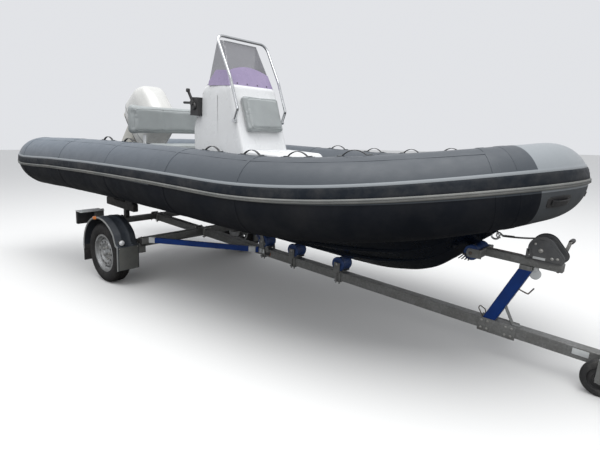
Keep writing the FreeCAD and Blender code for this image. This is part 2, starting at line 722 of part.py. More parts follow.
def hoop_rail():
    """Bent tube round the windscreen, standing on the console's sides."""
    side = [Vector(x, -s.hoop_half, z) for x, z in HOOP_SIDE[:-1]]
    top = Vector(HOOP_SIDE[-1][0], -s.hoop_half, s.hoop_top)
    run = side + [top]
    run += [Vector(point.x, -point.y, point.z) for point in reversed(run)]
    bends = [40, 300, s.hoop_bend, s.hoop_bend, 300, 40]
    pipe = bar_along(run, s.hoop_radius, bends)
    feet = rod("hoop_foot", "y", ("console_half", "hoop_half + hoop_radius + 2"),
               (str(HOOP_SIDE[0][0]), str(HOOP_SIDE[0][1])), "hoop_radius + 3")
    sub_part("console_rail", feature("hoop_pipe", pipe), feet, mirrored(feet))


def helm():
    """Steering wheel and its shaft, at the dash."""
    foot, head = (Vector(x, 0, z) for x, z in CONSOLE_OUTLINE[2:4])
    dash = (foot + head) * 0.5
    out = (head - foot).cross(Vector(0, 1, 0)).normalize()
    turn = Rotation(Vector(0, 0, 1), out)
    grip = Part.makeTorus(s.helm_radius, s.helm_grip)
    hub = Part.makeCylinder(42, 26, Vector(0, 0, -13))
    wheel = grip.fuse(hub)
    for angle in (90, 210, 330):
        spoke = Part.makeBox(s.helm_radius - 30, 26, 8, Vector(30, -13, -4))
        spoke.rotate(Vector(), Vector(0, 0, 1), angle)
        wheel = wheel.fuse(spoke)
    shaft = Part.makeCylinder(s.helm_shaft, s.helm_reach - s.bearing_gap,
                              Vector(0, 0, s.bearing_gap - s.helm_reach))
    wheel = wheel.fuse(shaft)
    wheel.Placement = Placement(dash + out * s.helm_reach, turn)
    sub_part("steering_wheel", feature("steering_wheel_form", wheel))


def throttle():
    """Side control with its lever on the console's starboard side."""
    case = box("throttle_case", ("throttle_x", "throttle_x + throttle_length"),
               ("-console_half - throttle_width", "-console_half"),
               ("throttle_bottom", "throttle_top"))
    lever = rod("throttle_lever", "x", ("throttle_x - 80", "throttle_x + 40"),
                ("-console_half - throttle_width - 10", "throttle_top - 50"), "11")
    pivot = rod("throttle_pivot", "y", ("-console_half - throttle_width - 22",
                                        "-console_half - throttle_width"),
                ("throttle_x + 40", "throttle_top - 50"), "22")
    sub_part("throttle_box", case, lever, pivot)


def bench():
    """Helm bench with its cushion and the padded backrest on two posts."""
    outer = box("bench_outer", ("-bench_aft", "bench_fore"), ("-bench_half", "bench_half"),
                ("deck_top", "bench_top"))
    inner = box("bench_inner", ("bench_wall - bench_aft", "bench_fore - bench_wall"),
                ("bench_wall - bench_half", "bench_half - bench_wall"),
                ("deck_top", "bench_top - bench_wall"))
    shell = cut("bench_shell", outer, inner)
    pad = plate("bench_cushion", "XY",
                (("-back_fore", "-bench_half"), ("bench_fore + 10", "-bench_half"),
                 ("bench_fore + 10", "bench_half"), ("-back_fore", "bench_half")),
                "bench_top + seat_gap", "bench_top + bench_pad", "18")
    sub_part("seat_cushion", pad)
    back = plate("backrest_pad", "XZ",
                 (("-back_aft", "back_bottom"), ("-back_fore", "back_bottom"),
                  ("-back_fore", "back_top"), ("-back_aft", "back_top")),
                 "-back_half", "back_half", "back_round")
    sub_part("seat_back", back)
    posts = []
    for side in ("-", ""):
        name = "backrest_post" + ("_starboard" if side else "_port")
        posts.append(rod(name, "z", ("bench_top", "back_bottom - seat_gap"),
                         ("-(back_aft + back_fore) / 2", f"{side}back_post_y"), "back_post"))
    sub_part("seat_box", shell, *posts)


def grab_loops(tube_skins):
    """Soft handles standing on both tubes."""
    loops = []
    for along in LOOP_PLACES:
        place = tube_place(along)
        crest = place.middle + place.up * place.radius
        ends = [crest + place.along * (side * s.loop_span / 2) for side in (-1, 1)]
        sunk = [end - place.up * s.loop_root for end in ends]
        top = [crest + place.up * s.loop_rise + place.along * (side * s.loop_span * 0.2)
               for side in (-1, 1)]
        loops.append(bar_along([sunk[0], top[0], top[1], sunk[1]], s.loop_radius,
                               [s.loop_bend, s.loop_bend]))
    starboard = cut("loops_seated", feature("loops_starboard", Part.makeCompound(loops)), *tube_skins)
    sub_part("grab_loops", starboard, mirrored(starboard))


def bow_eye(hull_body):
    """Bent eye on the stem, for the winch strap."""
    torus = doc.addObject("Part::Torus", "eye_ring")
    bind(torus, "Radius1", "eye_bend")
    bind(torus, "Radius2", "eye_radius")
    torus.Placement = Placement(Vector(s.eye_x, 0, s.eye_z), TURN_TO["y"])
    sub_part("bow_eye", cut("eye_seated", torus, hull_body))


# Outboard, drawn in its running position about its tilt axis
def tilt_axis():
    """Tilt axis of the outboard, level and straight."""
    return Vector(-s.transom_aft, 0, s.transom_top + s.pivot_above)


def outboard_attitude():
    """Placement that lifts the outboard to its parked tilt."""
    return Placement(tilt_axis(), Rotation(Vector(0, 1, 0), s.outboard_tilt))


def side_profile(points, half, offset=0.0):
    """Side view outline, as thick as twice its half width."""
    corners = [Vector(x, 0, z) for x, z in points]
    form = Part.Face(Part.makePolygon(corners + corners[:1])).extrude(Vector(0, 2 * half, 0))
    form.translate(Vector(0, offset - half, 0))
    return form


def outboard():
    """Transom bracket, swivel, leg, cowl, gear housing and propeller."""
    parked = outboard_attitude()
    pivot = Placement(tilt_axis(), Rotation())

    cheek_points = ((0, -310), (-46, -290), (-62, -110), (-32, 30), (30, 30), (44, 0),
                    (44, -s.pivot_above), (0, -s.pivot_above))
    cheek_middle = s.clamp_inner + s.clamp_wall / 2
    cheeks = [side_profile(cheek_points, s.clamp_wall / 2, side * cheek_middle)
              for side in (-1, 1)]
    reach = s.clamp_inner + s.clamp_wall + 8
    tilt_tube = Part.makeCylinder(s.pivot_radius, 2 * reach, Vector(0, -reach, 0), Vector(0, 1, 0))
    bracket = cheeks[0].fuse([cheeks[1], tilt_tube])
    bracket_piece = feature("outboard_bracket_form", bracket)
    sub_part("outboard_bracket", bracket_piece, attitude=pivot)

    width = s.clamp_inner - 5
    knuckle = Part.makeCylinder(s.pivot_radius + 16, 2 * width, Vector(0, -width, 0), Vector(0, 1, 0))
    housing_top = -s.swivel_top
    housing = Part.makeCylinder(s.swivel_radius, s.swivel_bottom - s.swivel_top,
                                Vector(-s.swivel_back, 0, -s.swivel_bottom))
    web = side_profile(((0, 20), (-s.swivel_back, housing_top), (-s.swivel_back, -150),
                        (-20, -60), (10, -20)), 40)
    swivel = knuckle.fuse([housing, web])
    bore = Part.makeCylinder(s.kingpin_radius + s.bearing_gap, 800,
                             Vector(-s.swivel_back, 0, -600))
    pivot_bore = Part.makeCylinder(s.pivot_radius + s.bearing_gap, 2 * width + 20,
                                   Vector(0, -width - 10, 0), Vector(0, 1, 0))
    above = Part.makeCylinder(s.swivel_radius + 20, 200,
                              Vector(-s.swivel_back, 0, housing_top))
    swivel = swivel.cut(above).cut(bore).cut(pivot_bore)
    sub_part("outboard_swivel", feature("outboard_swivel_form", swivel), attitude=parked)

    kingpin = Part.makeCylinder(s.kingpin_radius, s.swivel_bottom - s.swivel_top + 60,
                                Vector(-s.swivel_back, 0, -s.swivel_bottom - 30))
    top_yoke = Part.makeBox(150, 90, 28, Vector(-s.swivel_back - 130, -45, housing_top + s.yoke_gap))
    foot_yoke = Part.makeBox(110, 80, 30, Vector(-s.swivel_back - 90, -40,
                                                 -s.swivel_bottom - s.yoke_gap - 30))
    leg_rows = (
        (s.pan_bottom + 2, -140, -360, 62, 40),
        (-200, -130, -330, 52, 34),
        (-420, -118, -300, 36, 24),
        (-s.plate_below, -104, -290, 28, 20),
    )
    leg_wires = [rounded_wire(front, rear, half, height, corner)
                 for height, front, rear, half, corner in leg_rows]
    leg = Part.makeLoft(leg_wires, True, True)
    pan_wires = [rounded_wire(60, -360, 110, s.pan_bottom, 60),
                 rounded_wire(104, -404, s.cowl_half * 0.82, s.cowl_bottom - 1, 70)]
    pan = Part.makeLoft(pan_wires, True, True)
    leg = leg.fuse([kingpin, top_yoke, foot_yoke, pan])
    sub_part("outboard_leg", feature("outboard_leg_form", leg), attitude=parked)

    rise = s.cowl_top - s.cowl_bottom
    outer_wires = [rounded_wire(front, rear, share_y * s.cowl_half,
                                s.cowl_bottom + share * rise, corner)
                   for share, front, rear, share_y, corner in COWL_SECTIONS]
    inner_wires = [rounded_wire(front - s.cowl_wall, rear + s.cowl_wall,
                                share_y * s.cowl_half - s.cowl_wall,
                                s.cowl_bottom + share * (rise - s.cowl_wall),
                                corner - s.cowl_wall)
                   for share, front, rear, share_y, corner in COWL_SECTIONS]
    cowl = Part.makeLoft(outer_wires, True, True).cut(Part.makeLoft(inner_wires, True, True))
    sub_part("outboard_cowl", feature("outboard_cowl_form", cowl), attitude=parked)
    block = Part.makeBox(400, 220, 330, Vector(-350, -110, s.cowl_bottom - 1))
    sub_part("outboard_engine", feature("outboard_engine_block", block), attitude=parked)

    gear_rows = (
        (-s.plate_below, -96, -330, 95, 60),
        (-s.plate_below - 10, -96, -330, 95, 60),
    )
    vent_plate = Part.makeLoft([rounded_wire(f, r, h, z, c) for z, f, r, h, c in gear_rows], True, True)
    strut = Part.makeLoft([
        rounded_wire(-110, -270, 26, -s.plate_below - 5, 18),
        rounded_wire(-96, -250, 22, -s.shaft_below, 16)], True, True)
    torpedo = Part.makeCylinder(s.torpedo_radius, s.propeller_back - 45,
                                Vector(-s.propeller_back + 5, 0, -s.shaft_below), Vector(1, 0, 0))
    nose = Part.makeSphere(s.torpedo_radius, Vector(-40, 0, -s.shaft_below))
    skeg = side_profile(((-110, -s.shaft_below - 20), (-250, -s.shaft_below - 20),
                         (-235, -s.shaft_below - 165), (-190, -s.shaft_below - 165)), 6)
    prop_shaft = Part.makeCylinder(12, 100, Vector(-s.propeller_back - 90, 0, -s.shaft_below),
                                   Vector(1, 0, 0))
    gearcase = vent_plate.fuse([strut, torpedo, nose, skeg, prop_shaft])
    sub_part("outboard_gearcase", feature("outboard_gearcase_form", gearcase), attitude=parked)

    hub = Part.makeCylinder(s.propeller_hub, s.propeller_length,
                            Vector(-s.propeller_back - s.propeller_length, 0, 0), Vector(1, 0, 0))
    blades = []
    for k in range(int(s.blade_count)):
        rows = ((30, 84, 34, s.blade_wall), (95, 120, 26, 5), (150, 92, 20, 4),
                (s.propeller_radius, 34, 17, 3))
        wires = []
        for out, chord, pitch, wall in rows:
            turn = Rotation(Vector(0, 0, 1), 90 - pitch)
            corners = [Vector(-chord / 2, -wall / 2, 0), Vector(chord / 2, -wall / 2, 0),
                       Vector(chord / 2, wall / 2, 0), Vector(-chord / 2, wall / 2, 0)]
            points = [turn.multVec(corner) + Vector(-s.propeller_back - s.propeller_length / 2, 0, out)
                      for corner in corners]
            wires.append(Part.makePolygon(points + points[:1]))
        blade = Part.makeLoft(wires, True, True)
        blade.rotate(Vector(), Vector(1, 0, 0), 360 * k / s.blade_count)
        blades.append(blade)
    screw = hub.fuse(blades)
    screw = screw.cut(Part.makeCylinder(12 + s.bearing_gap, 400, Vector(-600, 0, 0), Vector(1, 0, 0)))
    screw.translate(Vector(0, 0, -s.shaft_below))
    sub_part("propeller", feature("propeller_form", screw), attitude=parked)


# Trailer
SPINE_BOTTOM = "(spine_top - spine_height)"
CROSS_BOTTOM = "(spine_top - cross_height)"
LAMP_FACE = "-(cross_rear + cross_depth / 2)"


def front_fittings():
    """Bracket of the fender's front skirt, under the front cross member."""
    behind_skirt = ("skirt_ahead - bracket_plate", "skirt_ahead")
    return [
        box("fender_front_bracket", behind_skirt, ("cross_half - 60", "fender_outer - 40"),
            ("skirt_bottom + 140", "skirt_top")),
        box("fender_front_hanger", behind_skirt, ("cross_half - 60", "cross_half"),
            ("skirt_top", CROSS_BOTTOM)),
    ]


def rear_fittings():
    """Fender bar, lamp hanger with its shelf, and bunk post on the rear cross member."""
    bar = box("fender_rear_bar", ("-cross_rear + cross_depth / 2", "-fender_radius * 0.8"),
              ("cross_half - 30", "fender_inner + 30"),
              (CROSS_BOTTOM + " + 10", "spine_top - 10"))
    wheel_space = rod("fender_space", "y", ("0", "fender_outer + 50"), ("0", "tyre_radius"),
                      "fender_radius + fender_wall")
    hanger = box("lamp_hanger", (f"{LAMP_FACE} - bracket_plate", LAMP_FACE),
                 ("lamp_inner - 40", "cross_half"), (CROSS_BOTTOM, "lamp_top"))
    shelf = box("lamp_shelf", (f"{LAMP_FACE} - bracket_plate - lamp_depth", f"{LAMP_FACE} + 30"),
                ("lamp_inner", "lamp_outer"), ("lamp_top", "lamp_top + 5"))
    post = box("bunk_post_block", ("-cross_rear - bunk_post / 2", "-cross_rear + bunk_post / 2"),
               ("bunk_y - bunk_post / 2", "bunk_y + bunk_post / 2"), ("spine_top", "bunk_bottom"))
    return [cut("fender_rear_bracket", bar, wheel_space), hanger, shelf, post]


def frame():
    """Middle beam and cross members."""
    sub_part("spine", box("spine_beam", ("-spine_aft", "spine_fore"),
                          ("-spine_width / 2", "spine_width / 2"), (SPINE_BOTTOM, "spine_top")))
    for label, middle, fittings in (
            ("cross_front", "cross_front", front_fittings()),
            ("cross_rear", "-cross_rear", rear_fittings())):
        arm = box(label + "_arm", (f"{middle} - cross_depth / 2", f"{middle} + cross_depth / 2"),
                  ("spine_width / 2", "cross_half"), (CROSS_BOTTOM, "spine_top"))
        half = join(label + "_half", arm, *fittings)
        sub_part(label + "_member", half, mirrored(half))


def axle():
    """Rubber sprung axle: square tube, trailing arms and stub shafts."""
    tube = box("axle_tube", ("axle_ahead - axle_square / 2", "axle_ahead + axle_square / 2"),
               ("-axle_half", "axle_half"),
               (f"{SPINE_BOTTOM} - axle_square", SPINE_BOTTOM))
    middle = s.spine_top - s.spine_height - s.axle_square / 2
    front = Vector(s.axle_ahead, 0, middle)
    rear = Vector(0, 0, s.tyre_radius)
    across = (rear - front).normalize().cross(Vector(0, 1, 0))
    corners = [front + across * s.arm_small, rear + across * s.arm_small,
               rear - across * s.arm_small, front - across * s.arm_small]
    web = Part.Face(Part.makePolygon(corners + corners[:1])).extrude(Vector(0, s.arm_width, 0))
    discs = [Part.makeCylinder(radius, s.arm_width, place, Vector(0, 1, 0))
             for radius, place in ((s.arm_big, front), (s.arm_small, rear))]
    arm_form = web.fuse(discs)
    arm_form.translate(Vector(0, s.axle_half, 0))
    arm = feature("axle_arm", arm_form)
    stub = rod("axle_stub", "y", ("axle_half + arm_width", "axle_half + arm_width + stub_reach"),
               ("0", "tyre_radius"), "stub_radius")
    sub_part("axle", tube, arm, stub, mirrored(arm), mirrored(stub))


def wheel():
    """Road wheel: tyre, rolled rim with a dished and vented disc, hub drum."""
    centre = ("0", "wheel_half_track", "tyre_radius")
    half = "tyre_width / 2"
    rim_half = "rim_width / 2"
    tyre = turned("tyre_form", (
        (f"-({rim_half} - 8)", "bead_radius + seat_gap"),
        (f"{rim_half} - 8", "bead_radius + seat_gap"),
        (f"{rim_half} - 8", "rim_radius + seat_gap"),
        (f"{rim_half} + 4", "rim_radius + seat_gap"),
        (f"{half} - 3", "rim_radius + 22"),
        (half, "tyre_radius - 52"),
        (f"{half} - 8", "tyre_radius - 20"),
        (f"{half} - 20", "tyre_radius - 6"),
        ("tread_half", "tyre_radius"),
        ("-tread_half", "tyre_radius"),
        (f"-({half} - 20)", "tyre_radius - 6"),
        (f"-({half} - 8)", "tyre_radius - 20"),
        (f"-({half})", "tyre_radius - 52"),
        (f"-({half} - 3)", "rim_radius + 22"),
        (f"-({rim_half} + 4)", "rim_radius + seat_gap"),
        (f"-({rim_half} - 8)", "rim_radius + seat_gap"),
    ), centre)
    barrel = turned("rim_barrel", (
        (f"-({rim_half})", "rim_radius"),
        (f"-({rim_half} - 7)", "rim_radius"),
        (f"-({rim_half} - 7)", "bead_radius"),
        ("-24", "bead_radius - 8"),
        ("-8", "well_radius"),
        ("28", "well_radius"),
        ("38", "bead_radius - 6"),
        (f"{rim_half} - 7", "bead_radius"),
        (f"{rim_half} - 7", "rim_radius"),
        (rim_half, "rim_radius"),
        (rim_half, "bead_radius - rim_wall"),
        ("40", "bead_radius - 6 - rim_wall"),
        ("30", "well_radius - rim_wall"),
        ("-10", "well_radius - rim_wall"),
        ("-26", "bead_radius - 8 - rim_wall"),
        (f"-({rim_half})", "bead_radius - rim_wall"),
    ), centre)
    disc = turned("rim_disc", (
        ("12", "well_radius - rim_wall"),
        ("18", "well_radius - rim_wall"),
        ("disc_dish", "vent_circle + 16"),
        ("disc_dish", "vent_circle - 16"),
        ("disc_face", "vent_circle - 32"),
        ("disc_face", "0"),
        ("disc_face - rim_wall", "0"),
        ("disc_face - rim_wall", "vent_circle - 30"),
        ("disc_dish - rim_wall", "vent_circle - 14"),
        ("disc_dish - rim_wall", "vent_circle + 14"),
    ), centre)
    vents = doc.addObject("PartDesign::Body", "rim_vents")
    spot = vents.newObject("Sketcher::SketchObject", "rim_vent_circle")
    plane = next(f for f in vents.Origin.OriginFeatures if f.Role == "XZ_Plane")
    spot.AttachmentSupport = [(plane, "")]
    spot.MapMode = "FlatFace"
    spot.addGeometry(Part.Circle(Vector(0, s.vent_circle, 0), Vector(0, 0, 1), s.vent_radius), False)
    spot.addConstraint(Sketcher.Constraint("PointOnObject", 0, 3, -2))
    reach = spot.addConstraint(Sketcher.Constraint("DistanceY", -1, 1, 0, 3, s.vent_circle))
    bind(spot, f"Constraints[{reach}]", "vent_circle")
    size = spot.addConstraint(Sketcher.Constraint("Radius", 0, s.vent_radius))
    bind(spot, f"Constraints[{size}]", "vent_radius")
    pin = vents.newObject("PartDesign::Pad", "rim_vent_pin")
    pin.Profile = spot
    pin.Reversed = True
    bind(pin, "Length", "disc_dish + 20")
    doc.recompute()
    pattern = vents.newObject("PartDesign::PolarPattern", "rim_vent_pattern")
    pattern.Originals = [pin]
    axis = next(f for f in vents.Origin.OriginFeatures if f.Role == "Y_Axis")
    pattern.Axis = (axis, [""])
    pattern.Angle = 360
    bind(pattern, "Occurrences", "vent_count")
    vents.Tip = pattern
    for direction, formula in zip("xyz", centre):
        bind(vents, f"Placement.Base.{direction}", formula)
    vented = cut("rim_vented", disc, vents)
    hub_back = "axle_half + arm_width + bearing_gap * 10 - wheel_half_track"
    hub = turned("rim_hub", (
        (hub_back, "stub_radius + bearing_gap"),
        (hub_back, "drum_radius"),
        (f"{hub_back} + drum_width", "drum_radius"),
        (f"{hub_back} + drum_width", "drum_radius * 0.6"),
        ("disc_face - rim_wall", "drum_radius * 0.6"),
        ("disc_face - rim_wall", "0"),
        ("axle_half + arm_width + stub_reach + 2 - wheel_half_track", "0"),
        ("axle_half + arm_width + stub_reach + 2 - wheel_half_track", "stub_radius + bearing_gap"),
    ), centre)
    cap = rod("rim_cap", "y", ("wheel_half_track + disc_face",
                               "wheel_half_track + disc_face + cap_length"),
              ("0", "tyre_radius"), "cap_radius")
    rim = join("rim_form", barrel, vented, hub, cap)
    sub_part("tyre_left", tyre)
    sub_part("rim_left", rim)
    sub_part("tyre_right", mirrored(tyre))
    sub_part("rim_right", mirrored(rim))


def fender():
    """Wheel arch with a lip and a stepped front skirt, its brackets and flap."""
    outer = s.fender_radius + s.fender_wall
    width = s.fender_outer - s.fender_inner

    def arch(low, high, near, far):
        """Sheet bent round the wheel between two radii and two faces across."""
        first, last = radians(s.fender_front_angle), radians(188)

        def at(radius, angle):
            return Vector(radius * cos(angle), near, s.tyre_radius + radius * sin(angle))

        crown = (first + last) / 2
        edge = Part.Wire([
            Part.Arc(at(high, first), at(high, crown), at(high, last)).toShape(),
            Part.makeLine(at(high, last), at(low, last)),
            Part.Arc(at(low, last), at(low, crown), at(low, first)).toShape(),
            Part.makeLine(at(low, first), at(high, first)),
        ])
        return Part.Face(edge).extrude(Vector(0, far - near, 0))

    sheet_form = arch(s.fender_radius, outer, s.fender_inner, s.fender_outer)
    lip = arch(outer - s.fender_lip, outer, s.fender_outer - s.fender_wall, s.fender_outer)
    angle = radians(s.fender_front_angle)
    corner_x = s.fender_radius * cos(angle)
    corner_z = s.tyre_radius + s.fender_radius * sin(angle)
    wall = s.fender_wall
    skirt_points = ((corner_x - 1, corner_z + 2), (corner_x + wall, corner_z + 3),
                    (s.skirt_ahead - 18, s.skirt_top + wall), (s.skirt_ahead + wall, s.skirt_top + wall),
                    (s.skirt_ahead + wall, s.skirt_bottom), (s.skirt_ahead, s.skirt_bottom),
                    (s.skirt_ahead, s.skirt_top), (s.skirt_ahead - 22, s.skirt_top))
    skirt = side_profile(skirt_points, width / 2, (s.fender_inner + s.fender_outer) / 2)
    guard = sheet_form.fuse([lip, skirt])
    left = feature("fender_form", guard)
    sub_part("fender_left", left)
    sub_part("fender_right", mirrored(left))
    lamp_y, lamp_z = "fender_outer - 45", "skirt_top + fender_wall + 24"
    lamp_foot = "skirt_ahead + fender_wall + 6"
    base = rod("front_lamp_base", "x", ("skirt_ahead - 20", lamp_foot), (lamp_y, lamp_z),
               "front_lamp_radius - 2")
    glass = rod("front_lamp_glass", "x", (lamp_foot, f"{lamp_foot} + front_lamp_length"),
                (lamp_y, lamp_z), "front_lamp_radius")
    seated = cut("front_lamp_seated", base, left)
    sub_part("front_lamps", seated, glass, mirrored(seated), mirrored(glass))

    flap = box("flap_sheet", ("-(fender_radius + fender_wall) - seat_gap - flap_wall",
                              "-(fender_radius + fender_wall) - seat_gap"),
               ("fender_inner", "fender_outer"), ("flap_bottom", "flap_top"))
    sub_part("mud_flaps", flap, mirrored(flap))


def lamps():
    """Rear lamp housings with lenses, and side reflectors."""
    case = box("lamp_case", (f"{LAMP_FACE} - bracket_plate - lamp_depth", f"{LAMP_FACE} - bracket_plate"),
               ("lamp_inner", "lamp_outer"), ("lamp_bottom", "lamp_top"))
    sub_part("lamp_housings", case, mirrored(case))
    lens = box("lamp_lens", (f"{LAMP_FACE} - bracket_plate - lamp_depth - lens_depth",
                             f"{LAMP_FACE} - bracket_plate - lamp_depth"),
               ("lamp_inner + 15", "lamp_outer - 15"), ("lamp_bottom + 20", "lamp_top - 20"))
    sub_part("tail_lenses", lens, mirrored(lens))
    amber = box("beam_reflector", ("reflector_x - reflector_length", "reflector_x"),
                ("spine_width / 2", "spine_width / 2 + reflector_wall"),
                (f"{SPINE_BOTTOM} + 20", f"{SPINE_BOTTOM} + 20 + reflector_height"))
    sub_part("side_reflectors", amber, mirrored(amber))


def braces():
    """Diagonal braces from the front cross member to the middle beam, with end plates."""
    aft = Vector(s.brace_aft, s.brace_aft_y, s.brace_top - s.brace_height)
    fore = Vector(s.brace_fore, s.spine_width / 2 + s.brace_wall / 2 + 4, aft.z)
    run = fore - aft
    bar = Part.makeBox(run.Length, s.brace_wall, s.brace_height, Vector(0, -s.brace_wall / 2, 0))
    bar.Placement = Placement(aft, Rotation(Vector(1, 0, 0), run))
    beam_space = Part.makeBox(6000, s.spine_width, 400, Vector(-1000, -s.spine_width / 2, 300))
    member_space = Part.makeBox(s.cross_depth, 2 * s.cross_half, 200,
                                Vector(s.cross_front - s.cross_depth / 2, -s.cross_half, 350))
    left = feature("brace_bar", bar.cut(beam_space).cut(member_space))
    sub_part("side_brace_left", left)
    sub_part("side_brace_right", mirrored(left))


def keel_supports():
    """Keel rollers with their brackets and clamps on the middle beam."""
    keel = HULL_STATIONS[1][1]
    roller_z = f"{keel} - seat_gap - roller_radius"
    rollers = []
    brackets = []
    for name in ("roller_aft", "roller_middle", "roller_fore"):
        rollers.append(rod(name + "_barrel", "y", ("-roller_length / 2", "roller_length / 2"),
                           (name, roller_z), "roller_radius"))
        wide = "(roller_length / 2 + cheek_gap + bracket_plate)"
        span = (f"{name} - cheek_length / 2", f"{name} + cheek_length / 2")
        brackets.append(box(name + "_base", span, (f"-{wide}", wide),
                            ("spine_top", "spine_top + bracket_plate / 2")))
        for side in (-1, 1):
            tag = "_port" if side > 0 else "_starboard"
            near = "roller_length / 2 + cheek_gap"
            far = near + " + bracket_plate"
            faces = (near, far) if side > 0 else (f"-({far})", f"-({near})")
            brackets.append(box(name + tag + "_cheek", span, faces,
                                ("spine_top", roller_z + " + roller_pin * 2")))
            bolt_y = f"{side} * (spine_width / 2 + clamp_bolt)"
            for end, sign in (("aft", "-"), ("fore", "+")):
                brackets.append(rod(f"{name}{tag}_bolt_{end}", "z",
                                    (f"{SPINE_BOTTOM} - 22", "spine_top"),
                                    (f"{name} {sign} cheek_length * 0.3", bolt_y), "clamp_bolt"))
        brackets.append(box(name + "_strap", span,
                            ("-(spine_width / 2 + clamp_bolt * 2 + 4)",
                             "spine_width / 2 + clamp_bolt * 2 + 4"),
                            (f"{SPINE_BOTTOM} - bracket_plate", SPINE_BOTTOM)))
        brackets.append(rod(name + "_pin", "y", (f"-{wide}", wide), (name, roller_z), "roller_pin"))
    bores = [rod(name + "_bore", "y", ("-roller_length / 2", "roller_length / 2"),
                 (name, roller_z), "roller_pin + bearing_gap")
             for name in ("roller_aft", "roller_middle", "roller_fore")]
    pierced = [cut(roller.Name + "_bored", roller, bore) for roller, bore in zip(rollers, bores)]
    sub_part("keel_rollers", *pierced)
    sub_part("roller_brackets", *brackets)


def bunks(hull_body):
    """Side bunks on posts over the rear cross member, with shoes under the hull."""
    faces = ("bunk_y - bunk_width / 2", "bunk_y + bunk_width / 2")
    bar = box("bunk_bar", ("-bunk_aft", "-bunk_fore"), faces, ("bunk_bottom", "bunk_top"))
    shoes = []
    for name, start in (("bunk_shoe_aft", "-bunk_aft + 20"),
                        ("bunk_shoe_fore", "-bunk_fore - shoe_length - 20")):
        raw = box(name + "_block", (start, f"{start} + shoe_length"), faces,
                  ("bunk_top", "bunk_top + 150"))
        shoes.append(cut(name, raw, hull_body))
    whole = join("bunk_form", bar, *shoes)
    sub_part("side_bunks", whole, mirrored(whole))


def winch_post():
    """Leaning post with its saddle, arm, bow roller and winch."""
    foot = plate("winch_post_form", "XZ", (
        ("post_foot - post_depth / 2", "spine_top"),
        ("post_foot + post_depth / 2", "spine_top"),
        ("post_foot + post_lean + post_depth / 2", "post_top"),
        ("post_foot + post_lean - post_depth / 2", "post_top"),
    ), "-spine_width / 2", "spine_width / 2")
    sub_part("winch_post", foot)
    saddle = plate("saddle_sheet", "XZ", (
        ("saddle_aft", SPINE_BOTTOM), ("saddle_fore", SPINE_BOTTOM),
        ("saddle_fore", "spine_top + 14"), ("post_foot + 70", "saddle_top"),
        ("post_foot", "saddle_top"), ("saddle_aft", "spine_top + 14"),
    ), "spine_width / 2", "spine_width / 2 + saddle_plate")
    sub_part("winch_saddle", saddle, mirrored(saddle))
    beam = box("winch_arm_beam", ("arm_aft", "arm_fore"), ("-arm_half", "arm_half"),
               ("arm_bottom", "arm_bottom + arm_height"))
    cap = box("winch_arm_cap", ("post_foot + post_lean - post_depth / 2",
                                "post_foot + post_lean + post_depth / 2"),
              ("-spine_width / 2", "spine_width / 2"), ("post_top", "arm_bottom"))
    crown = box("snub_crown", ("arm_aft", "arm_aft + snub_cheek * 2"),
                ("-(snub_half + 5 + snub_cheek)", "snub_half + 5 + snub_cheek"),
                ("arm_bottom", "arm_bottom + arm_height"))
    cheek = box("snub_cheek_plate", ("snub_x - 26", "arm_aft + snub_cheek * 2"),
                ("snub_half + 5", "snub_half + 5 + snub_cheek"),
                ("snub_z - 24", "snub_z + 24"))
    pin = rod("snub_pin", "y", ("-(snub_half + 5)", "snub_half + 5"), ("snub_x", "snub_z"),
              "roller_pin")
    sub_part("winch_arm", beam, cap, crown, cheek, mirrored(cheek), pin)
    roller = turned("bow_roller_form", (
        ("-snub_half", "roller_pin + bearing_gap"), ("-snub_half", "snub_end"),
        ("-snub_half + 20", "snub_end"), ("-12", "snub_waist"), ("12", "snub_waist"),
        ("snub_half - 20", "snub_end"), ("snub_half", "snub_end"),
        ("snub_half", "roller_pin + bearing_gap"),
    ), ("snub_x", "0", "snub_z"))
    sub_part("bow_roller", roller)

    disc = rod("winch_disc", "y", ("winch_half", "winch_half + winch_plate"),
               ("winch_x", "winch_z"), "winch_radius")
    foot_plate = box("winch_foot", ("winch_x - winch_radius", "winch_x + winch_radius"),
                     ("winch_half", "winch_half + winch_plate"),
                     ("arm_bottom + arm_height", "winch_z"))
    base = box("winch_base", ("winch_x - winch_radius", "winch_x + winch_radius"),
               ("-(winch_half + winch_plate)", "winch_half + winch_plate"),
               ("arm_bottom + arm_height", "arm_bottom + arm_height + winch_plate"))
    axle_pin = rod("winch_axle", "y", ("-(winch_half + winch_plate + 12)",
                                       "winch_half + winch_plate + 12"),
                   ("winch_x", "winch_z"), "12")
    crank = box("winch_crank", ("winch_x - 14", "winch_x + 14"),
                ("winch_half + winch_plate + 12", "winch_half + winch_plate + 20"),
                ("winch_z - 14", "winch_z + 170"))
    knob = rod("winch_knob", "y", ("winch_half + winch_plate + 20", "winch_half + winch_plate + 110"),
               ("winch_x", "winch_z + 155"), "13")
    sub_part("winch_frame", base, disc, foot_plate, mirrored(disc), mirrored(foot_plate),
             axle_pin, crank, knob)
    wound = rod("strap_wound", "y", ("-strap_width / 2", "strap_width / 2"),
                ("winch_x", "winch_z"), "drum_core")
    bore = rod("strap_bore", "y", ("-strap_width", "strap_width"), ("winch_x", "winch_z"), "12.3")
    drum = cut("strap_drum", wound, bore)
    eye = Vector(s.eye_x + s.eye_bend, 0, s.eye_z)
    start = Vector(s.winch_x, 0, s.winch_z + s.drum_core - s.strap_wall)
    stop = Vector(eye.x + 8, 0, eye.z)
    run = stop - start
    strip = Part.makeBox(run.Length, s.strap_width, s.strap_wall, Vector(0, -s.strap_width / 2, 0))
    strip.Placement = Placement(start, Rotation(Vector(1, 0, 0), run).multiply(
        Rotation(Vector(1, 0, 0), 180)))
    sub_part("winch_strap", drum, feature("strap_run", strip))


